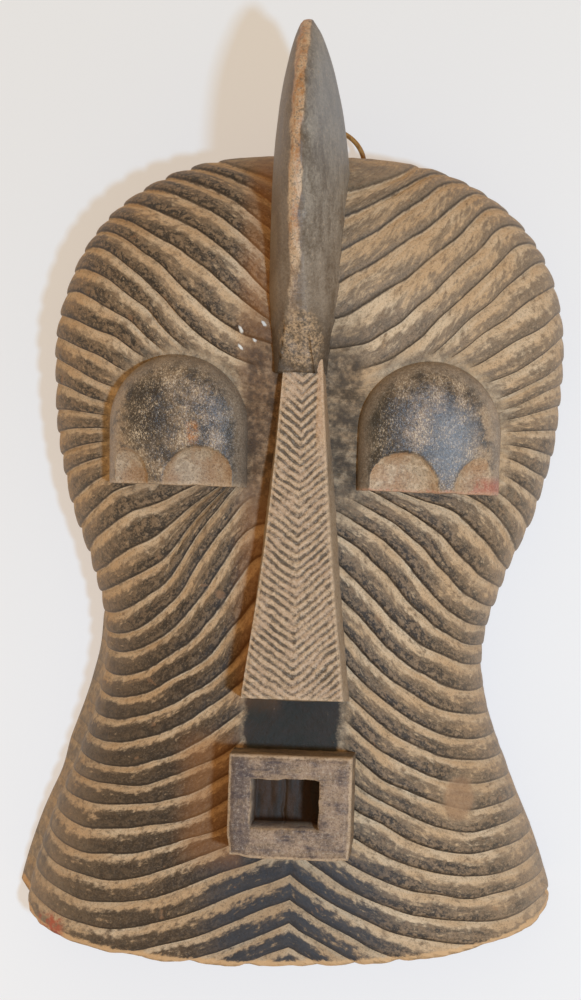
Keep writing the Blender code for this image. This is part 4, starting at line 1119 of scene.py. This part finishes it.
def eye_finish(paint):
    """Blackened, speckled hoods with a pale rim of rubbed wood and painted highlight, a painted blue-grey
    sheen on the right hood, bare scoops and traces of red pigment.
    """
    n = Nodes("eye wood", paint)
    scoop, rim, lip, side, inner, outer = n.values("scoop", "hood_rim", "lip", "side", "inner", "outer")
    coarse, middling, fine = n.grain(85.0, 4.0, 0.65), n.grain(420.0, 4.0, 0.75), n.grain(1500.0, 2.0, 0.7)
    drip = n.grain(500.0, 3.0, 0.6, (1.0, 0.22, 1.0))
    right_eye = n.zone(left=(20.0, 10.0))

    # Hood
    front = n.mix(n.step(0.6, 0.92, (coarse, 1.0), (middling, 0.5)), "eye_dark", "brown")
    # Painted blue-grey sheen on the right hood
    sheen = n.zone(left=(72.0, 12.0), right=(98.0, 12.0), low=(14.0, 12.0), high=(50.0, 12.0))
    front = n.over(front, n.times(sheen, right_eye), "sheen_blue_grey", 0.75)
    for left, low, right, high in ((-103.0, 28.0, -74.0, 66.0), (33.0, 4.0, 56.0, 60.0)):
        black = n.zone(left=(left, 5.0), right=(right, 9.0), low=(low, 8.0), high=(high, 8.0))
        black = n.step(1.05, 1.6, (black, 0.9), (coarse, 0.9), (middling, 0.5))
        front = n.over(front, black, "eye_black", 0.78)
    ochre = n.zone(left=(-63.5, 1.5), right=(-57.5, 1.5), low=(30.0, 2.5), high=(41.0, 2.5))
    front = n.over(front, ochre, "rust_and_shadow_orange", n.step(0.35, 0.6, middling))
    speckle = n.grain(1500.0, 3.0, 0.75, (1.0, 0.5, 1.0))
    front = n.over(front, n.step(0.77, 0.97, (speckle, 1.0), (coarse, 0.5)), "pale_clay", 0.85)
    colour = n.over(front, inner, "green_black", 0.7)
    colour = n.over(colour, n.times(outer, n.step(0.38, 0.55, coarse)), "clay", 0.6)
    # Pale rim: rubbed wood together with painted highlight, all round the hood
    colour = n.over(colour, n.step(0.75, 1.5, (rim, 1.0), (coarse, 0.7), (middling, 0.4)), "rim_tan_and_highlight", 0.7)

    # Scoops, pigment and edges
    bowl = n.mix(n.step(0.4, 0.6, coarse), "scoop", "pale_clay")
    bowl = n.over(bowl, n.step(0.95, 1.3, (coarse, 0.8), (middling, 1.0), (drip, 0.4)), "brown", 0.65)
    bowl = n.over(bowl, n.step(0.46, 0.62, n.grain(60.0, 3.0, 0.6)), "orange_wood", 0.4)
    bowl = n.over(bowl, n.rest(right_eye), "brown", 0.36)
    colour = n.over(colour, scoop, bowl)
    red = n.zone(left=(30.0, 5.0), right=(120.0, 3.0), low=(2.0, 3.0), high=(14.5, 3.5))
    red = n.times(red, n.step(0.62, 0.95, (outer, 0.5), (drip, 1.0), (lip, 0.4)))
    for share, name, strength in ((red, "red", 0.75), (lip, "pale_wood", 0.5), (side, "brown", 0.6)):
        colour = n.over(colour, share, name, strength)
    colour = n.grit(colour, 0.5, 0.3, 760.0)
    roughness = n.sum((scoop, 0.25), (rim, 0.1), (middling, 0.25), 0.2)
    return n.finish(colour, roughness, 0.55, ((drip, 0.3), (middling, 0.4), (fine, 0.25)))


def mouth_finish(paint):
    """Rubbed brown wood with a violet-grey film, pale edges and a nearly black recess."""
    n = Nodes("mouth wood", paint)
    recess, worn, side = n.values("recess", "worn", "side")
    coarse, middling, fine = n.grain(90.0, 4.0, 0.65), n.grain(420.0, 4.0, 0.7), n.grain(1500.0, 2.0, 0.6)
    grain = n.grain(260.0, 5.0, 0.65, (0.22, 1.0, 0.5))
    front = n.mix(n.step(0.44, 0.72, (coarse, 0.7), (grain, 0.5)), "violet_grey", "mouth_tan")
    front = n.over(front, n.step(0.62, 0.85, (grain, 1.0), (fine, 0.4)), "brown", 0.65)
    front = n.over(front, n.step(0.88, 1.05, (middling, 1.0), (grain, 0.5)), "pale_wood", 0.6)
    blotch = n.grain(330.0, 4.0, 0.7, (1.0, 0.35, 1.0))
    blotch = n.step(0.9, 1.25, (n.zone(right=(-19.0, 7.0)), 0.7), (blotch, 1.0))
    front = n.over(front, blotch, "violet_grey", 0.75)
    edge = n.step(0.95, 1.45, (worn, 1.0), (middling, 0.6), (coarse, 0.5))
    colour = n.over(front, edge, "pale_wood", 0.6)
    colour = n.over(colour, side, n.mix(n.step(0.35, 0.65, grain), "brown", "warm_dark"), 0.8)
    colour = n.grit(colour, 0.5, 0.3)
    shadow = n.step(0.35, 0.7, n.grain(200.0, 4.0, 0.6, (1.0, 0.2, 1.0)))
    colour = n.over(colour, recess, n.mix(shadow, "recess", "warm_dark"))
    bumps = ((grain, 0.35), (middling, 0.35), (fine, 0.2))
    return n.finish(colour, n.sum((middling, 0.25), 0.48), 0.35, bumps)


def cane_finish(paint):
    """Smooth amber cane with fine lengthwise fibres."""
    n = Nodes("amber cane", paint)
    fibre, middling = n.grain(900.0, 3.0, 0.6, (1.0, 0.3, 1.0)), n.grain(260.0, 3.0, 0.6)
    colour = n.mix(n.step(0.6, 1.05, (fibre, 1.0), (middling, 0.7)), "cane", "cane_pale")
    n.give(Coat_Weight=0.2)
    return n.finish(colour, n.sum((middling, 0.3), 0.22), 0.5, ((fibre, 0.15),))


# Stage

def set_stage(studio):
    """A plain pale floor that glows a little, warm light from all round, a key light and the camera."""
    reach = studio.floor_reach
    corners = [(-reach, -reach, 0.0), (reach, -reach, 0.0), (reach, reach, 0.0), (-reach, reach, 0.0)]
    plane = bpy.data.meshes.new("floor")
    plane.from_pydata(corners, [], [(0, 1, 2, 3)])
    floor = show("floor", plane)
    floor.location.z = -FLOOR_GAP
    n = Nodes("pale paper", studio)
    parts = n.add("SeparateXYZ", [(0, n.object)]).outputs
    glow = n.mix(n.step(-0.4, 0.2, (parts[0], 0.5), (parts[1], -1.0)), "floor_warm", "floor_cool")
    n.give(Base_Color="floor_colour", Roughness=0.9)
    n.give(Emission_Color=glow, Emission_Strength=studio.floor_glow)
    plane.materials.append(n.material)
    world = bpy.data.worlds.new("studio")
    world.use_nodes = True
    sky = world.node_tree.nodes["Background"]
    sky.inputs["Color"].default_value = tuple(studio.sky_colour)
    sky.inputs["Strength"].default_value = studio.sky_strength
    bpy.context.scene.world = world
    bpy.context.scene.view_settings.view_transform = "Standard"
    add_key_light(studio)
    add_camera(studio)


def add_key_light(studio):
    """A square soft light, turned towards the middle of the mask."""
    light = bpy.data.lights.new("key", "AREA")
    light.size = studio.key_size
    light.energy = studio.key_power
    light.color = studio.key_colour[:3]
    lamp = show("key", light)
    away = Vector(studio.key_direction).normalized()
    lamp.location = away * studio.key_distance
    lamp.rotation_euler = away.to_track_quat("Z", "Y").to_euler()


def add_camera(studio):
    """The camera looks almost straight down, a little from the right, and leans a little."""
    lens = bpy.data.cameras.new("view")
    lens.lens = studio.lens
    lens.sensor_width = SENSOR_WIDTH
    lens.clip_start = 0.1
    camera = show("view", lens)
    yaw, roll = studio.camera_yaw, studio.camera_roll
    right = Vector((np.cos(yaw), 0.0, -np.sin(yaw)))
    up = Vector((0.0, 1.0, 0.0))
    back = Vector((np.sin(yaw), 0.0, np.cos(yaw)))
    leant_right = right * np.cos(roll) + up * np.sin(roll)
    leant_up = up * np.cos(roll) - right * np.sin(roll)
    turn = Matrix((leant_right, leant_up, back)).transposed()
    camera.matrix_world = Matrix.Translation(place(studio.camera_place)) @ turn.to_4x4()
    bpy.context.scene.camera = camera


# Add-on

def tint(name, description, colour):
    """A colour a user would change, given as it looks on a screen from 0 to 255."""
    share = [channel / 255.0 for channel in colour]
    linear = [c / 12.92 if c <= 0.04045 else ((c + 0.055) / 1.055) ** 2.4 for c in share]
    return FloatVectorProperty(
        name=name, description=description, default=linear + [1.0], size=4, subtype="COLOR", min=0.0, max=1.0
    )


def amount(name, description, default, **kind):
    """A number a user would change, with its unit or subtype."""
    return FloatProperty(name=name, description=description, default=default, **kind)


class MaskPaint(bpy.types.PropertyGroup):
    """The colours of the old wood and its films of clay, soot and pigment."""

    clay: tint("Clay", "Clay-coloured wood in the grooves", (200, 164, 123))
    pale_clay: tint("Pale clay", "Lighter clay in patches", (222, 194, 158))
    # Pale brown: mottles on the crowns and the paler crowns at the upper right
    pale_brown: tint("Pale brown", "Faded crowns at the upper right", (146, 124, 99))
    brown: tint("Brown", "Brown wood between clay and soot", (136, 111, 84))
    soot: tint("Soot", "Darkened flute crowns", (54, 45, 36))
    # Warm dark: the darker lower left of the face, the crest's lower end, the mouth box's sides and its
    # recess
    warm_dark: tint("Warm soot", "Darkened wood on the left and low", (58, 44, 31))
    grey: tint("Grey", "Grey film on the nose's flanks", (112, 108, 98))
    # Crease colour: dirt and painted shade in each crease, also the grit's dark pits
    crease: tint("Crease", "The dirt line in each crease", (42, 32, 22))
    blue_black: tint("Blue black", "The darkest bands on the chin", (52, 53, 57))
    green_black: tint("Green black", "The smooth dark wood under the nose", (52, 49, 42))
    # Orange-brown: painted shadow beside the crest, nose and mouth, and a rust-ochre mark on the left hood
    rust_and_shadow_orange: tint("Rust", "Warm orange-brown wood beside the nose and the mouth", (168, 108, 54))
    # Pale low sides: paler colour low on the face's sides
    pale_low_sides: tint("Dust", "Pale dust low on the sides", (170, 158, 145))
    bare_edge: tint("Bare edge", "Worn wood along the bottom edge", (216, 174, 126))
    chip: tint("Chip", "Fresh brown wood in chips", (150, 112, 80))
    chalk: tint("Chalk", "White flecks beside the crest", (226, 220, 208))
    speck: tint("Speck", "Pale specks", (205, 192, 172))
    raw: tint("Raw wood", "The hollow's plain wood", (120, 92, 62))
    crest_dark: tint("Crest dark", "Dark streaks on the crest", (86, 72, 56))
    # Crest left shade: painted shade on the crest's left side
    crest_left_shade: tint("Crest left", "Brown wood on the crest's left side", (112, 90, 68))
    crest_grey: tint("Crest grey", "Smoky grey on the crest", (150, 139, 123))
    orange_wood: tint("Orange wood", "Rubbed orange wood", (170, 118, 70))
    pale_wood: tint("Pale wood", "Rubbed pale wood", (208, 176, 140))
    nose_tan: tint("Nose tan", "Ridges between the nose's strokes", (196, 164, 132))
    nose_groove: tint("Nose groove", "Dirt in the nose's strokes", (88, 72, 56))
    eye_dark: tint("Eye dark", "Blackened eye hoods", (66, 55, 46))
    eye_black: tint("Eye black", "The darkest patches of the hoods", (34, 26, 22))
    # Blue-grey: painted sheen on the right hood and painted highlight on the crest
    sheen_blue_grey: tint("Blue grey", "Polished grey on the right eye and the crest", (122, 124, 126))
    # Rim tan: rubbed wood and painted highlight on the hoods' rims
    rim_tan_and_highlight: tint("Rim tan", "Rubbed rim of the hoods", (146, 126, 104))
    scoop: tint("Scoop", "Bare wood in the scoops", (174, 138, 102))
    red: tint("Red", "Traces of red pigment", (176, 92, 66))
    mouth_tan: tint("Mouth tan", "Rubbed wood on the mouth box", (166, 138, 112))
    violet_grey: tint("Violet grey", "Film on the mouth box", (86, 70, 64))
    recess: tint("Recess", "The dark mouth recess", (74, 42, 10))
    cane: tint("Cane", "Amber cane", (112, 70, 26))
    cane_pale: tint("Pale cane", "Lighter fibres in the cane", (168, 120, 58))


class MaskStudio(bpy.types.PropertyGroup):
    """The floor, the lights and the camera."""

    floor_reach: amount("Floor reach", "From the middle to the floor's edge", 6.0, unit="LENGTH")
    floor_colour: tint("Floor colour", "Pale paper", (153, 164, 166))
    floor_warm: tint("Warm glow", "Light the paper gives back on the left", (232, 217, 208))
    floor_cool: tint("Cool glow", "Light the paper gives back on the right", (246, 234, 230))
    floor_glow: amount("Floor glow", "How much the paper glows", 0.6)
    sky_colour: tint("Sky colour", "Warm light from all round", (255, 221, 170))
    sky_strength: amount("Sky strength", "How bright the light from all round is", 0.66)
    key_direction: FloatVectorProperty(
        name="Key direction", description="Towards the key light", default=(0.34, -0.14, 1.0), subtype="XYZ"
    )
    key_distance: amount("Key distance", "From the mask to the key light", 2.6, unit="LENGTH")
    key_size: amount("Key size", "Side of the key light", 0.16, unit="LENGTH")
    key_power: amount("Key power", "Power of the key light in watts", 52.0)
    key_colour: tint("Key colour", "Cool daylight", (174, 215, 255))
    lens: amount("Lens", "Focal length in millimetres", 90.0)
    camera_yaw: amount("Camera yaw", "How far right of straight above", 0.0698, subtype="ANGLE")
    camera_roll: amount("Camera roll", "How far the camera leans", 0.03246, subtype="ANGLE")
    camera_place: FloatVectorProperty(
        name="Camera place", description="In millimetres in the carver's frame", default=(91.6, 0.0, 1496.3)
    )


class MASK_OT_stage(bpy.types.Operator):
    """Set the floor, the lights and the camera"""

    bl_idname = "mask_carving.stage"
    bl_label = "Set stage"
    bl_options = {"REGISTER", "UNDO"}

    def execute(self, context):
        """Make the stage."""
        set_stage(context.scene.mask_studio)
        return {"FINISHED"}


class MASK_OT_face(bpy.types.Operator):
    """Carve the hollow face shell with its flutes"""

    bl_idname = "mask_carving.face"
    bl_label = "Carve face"
    bl_options = {"REGISTER", "UNDO"}

    def execute(self, context):
        """Make the face shell."""
        carve_face(face_finish(context.scene.mask_paint))
        return {"FINISHED"}


class MASK_OT_crest(bpy.types.Operator):
    """Carve the tall curved crest"""

    bl_idname = "mask_carving.crest"
    bl_label = "Carve crest"
    bl_options = {"REGISTER", "UNDO"}

    def execute(self, context):
        """Make the crest."""
        carve_crest(crest_finish(context.scene.mask_paint))
        return {"FINISHED"}


class MASK_OT_nose(bpy.types.Operator):
    """Carve the nose and its strokes"""

    bl_idname = "mask_carving.nose"
    bl_label = "Carve nose"
    bl_options = {"REGISTER", "UNDO"}

    def execute(self, context):
        """Make the nose."""
        carve_nose(nose_finish(context.scene.mask_paint))
        return {"FINISHED"}


class MASK_OT_eyes(bpy.types.Operator):
    """Carve both eye hoods"""

    bl_idname = "mask_carving.eyes"
    bl_label = "Carve eyes"
    bl_options = {"REGISTER", "UNDO"}

    def execute(self, context):
        """Make the eye hoods."""
        carve_eyes(eye_finish(context.scene.mask_paint))
        return {"FINISHED"}


class MASK_OT_mouth(bpy.types.Operator):
    """Carve the mouth box and its recess"""

    bl_idname = "mask_carving.mouth"
    bl_label = "Carve mouth"
    bl_options = {"REGISTER", "UNDO"}

    def execute(self, context):
        """Make the mouth box."""
        carve_mouth(mouth_finish(context.scene.mask_paint))
        return {"FINISHED"}


class MASK_OT_loop(bpy.types.Operator):
    """Bend the cane hanging loop"""

    bl_idname = "mask_carving.loop"
    bl_label = "Bend loop"
    bl_options = {"REGISTER", "UNDO"}

    def execute(self, context):
        """Make the cane loop."""
        bend_loop(cane_finish(context.scene.mask_paint))
        return {"FINISHED"}


OPERATORS = (
    MASK_OT_stage, MASK_OT_face, MASK_OT_crest, MASK_OT_nose, MASK_OT_eyes, MASK_OT_mouth, MASK_OT_loop
)


class MASK_PT_panel(bpy.types.Panel):
    """The mask's operators, one below another."""

    bl_label = "Fluted face mask"
    bl_idname = "MASK_PT_panel"
    bl_space_type = "VIEW_3D"
    bl_region_type = "UI"
    bl_category = "Mask"

    def draw(self, context):
        """List the operators."""
        for operator in OPERATORS:
            self.layout.operator(operator.bl_idname)


CLASSES = (MaskPaint, MaskStudio) + OPERATORS + (MASK_PT_panel,)


def register():
    """Register the classes and the settings."""
    for item in CLASSES:
        bpy.utils.register_class(item)
    bpy.types.Scene.mask_paint = PointerProperty(type=MaskPaint)
    bpy.types.Scene.mask_studio = PointerProperty(type=MaskStudio)


def unregister():
    """Take the classes and the settings away again."""
    del bpy.types.Scene.mask_studio
    del bpy.types.Scene.mask_paint
    for item in reversed(CLASSES):
        bpy.utils.unregister_class(item)


def main():
    """Make every piece and the stage."""
    register()
    for operator in OPERATORS:
        group, name = operator.bl_idname.split(".")
        getattr(getattr(bpy.ops, group), name)()


if __name__ == "__main__":
    main()
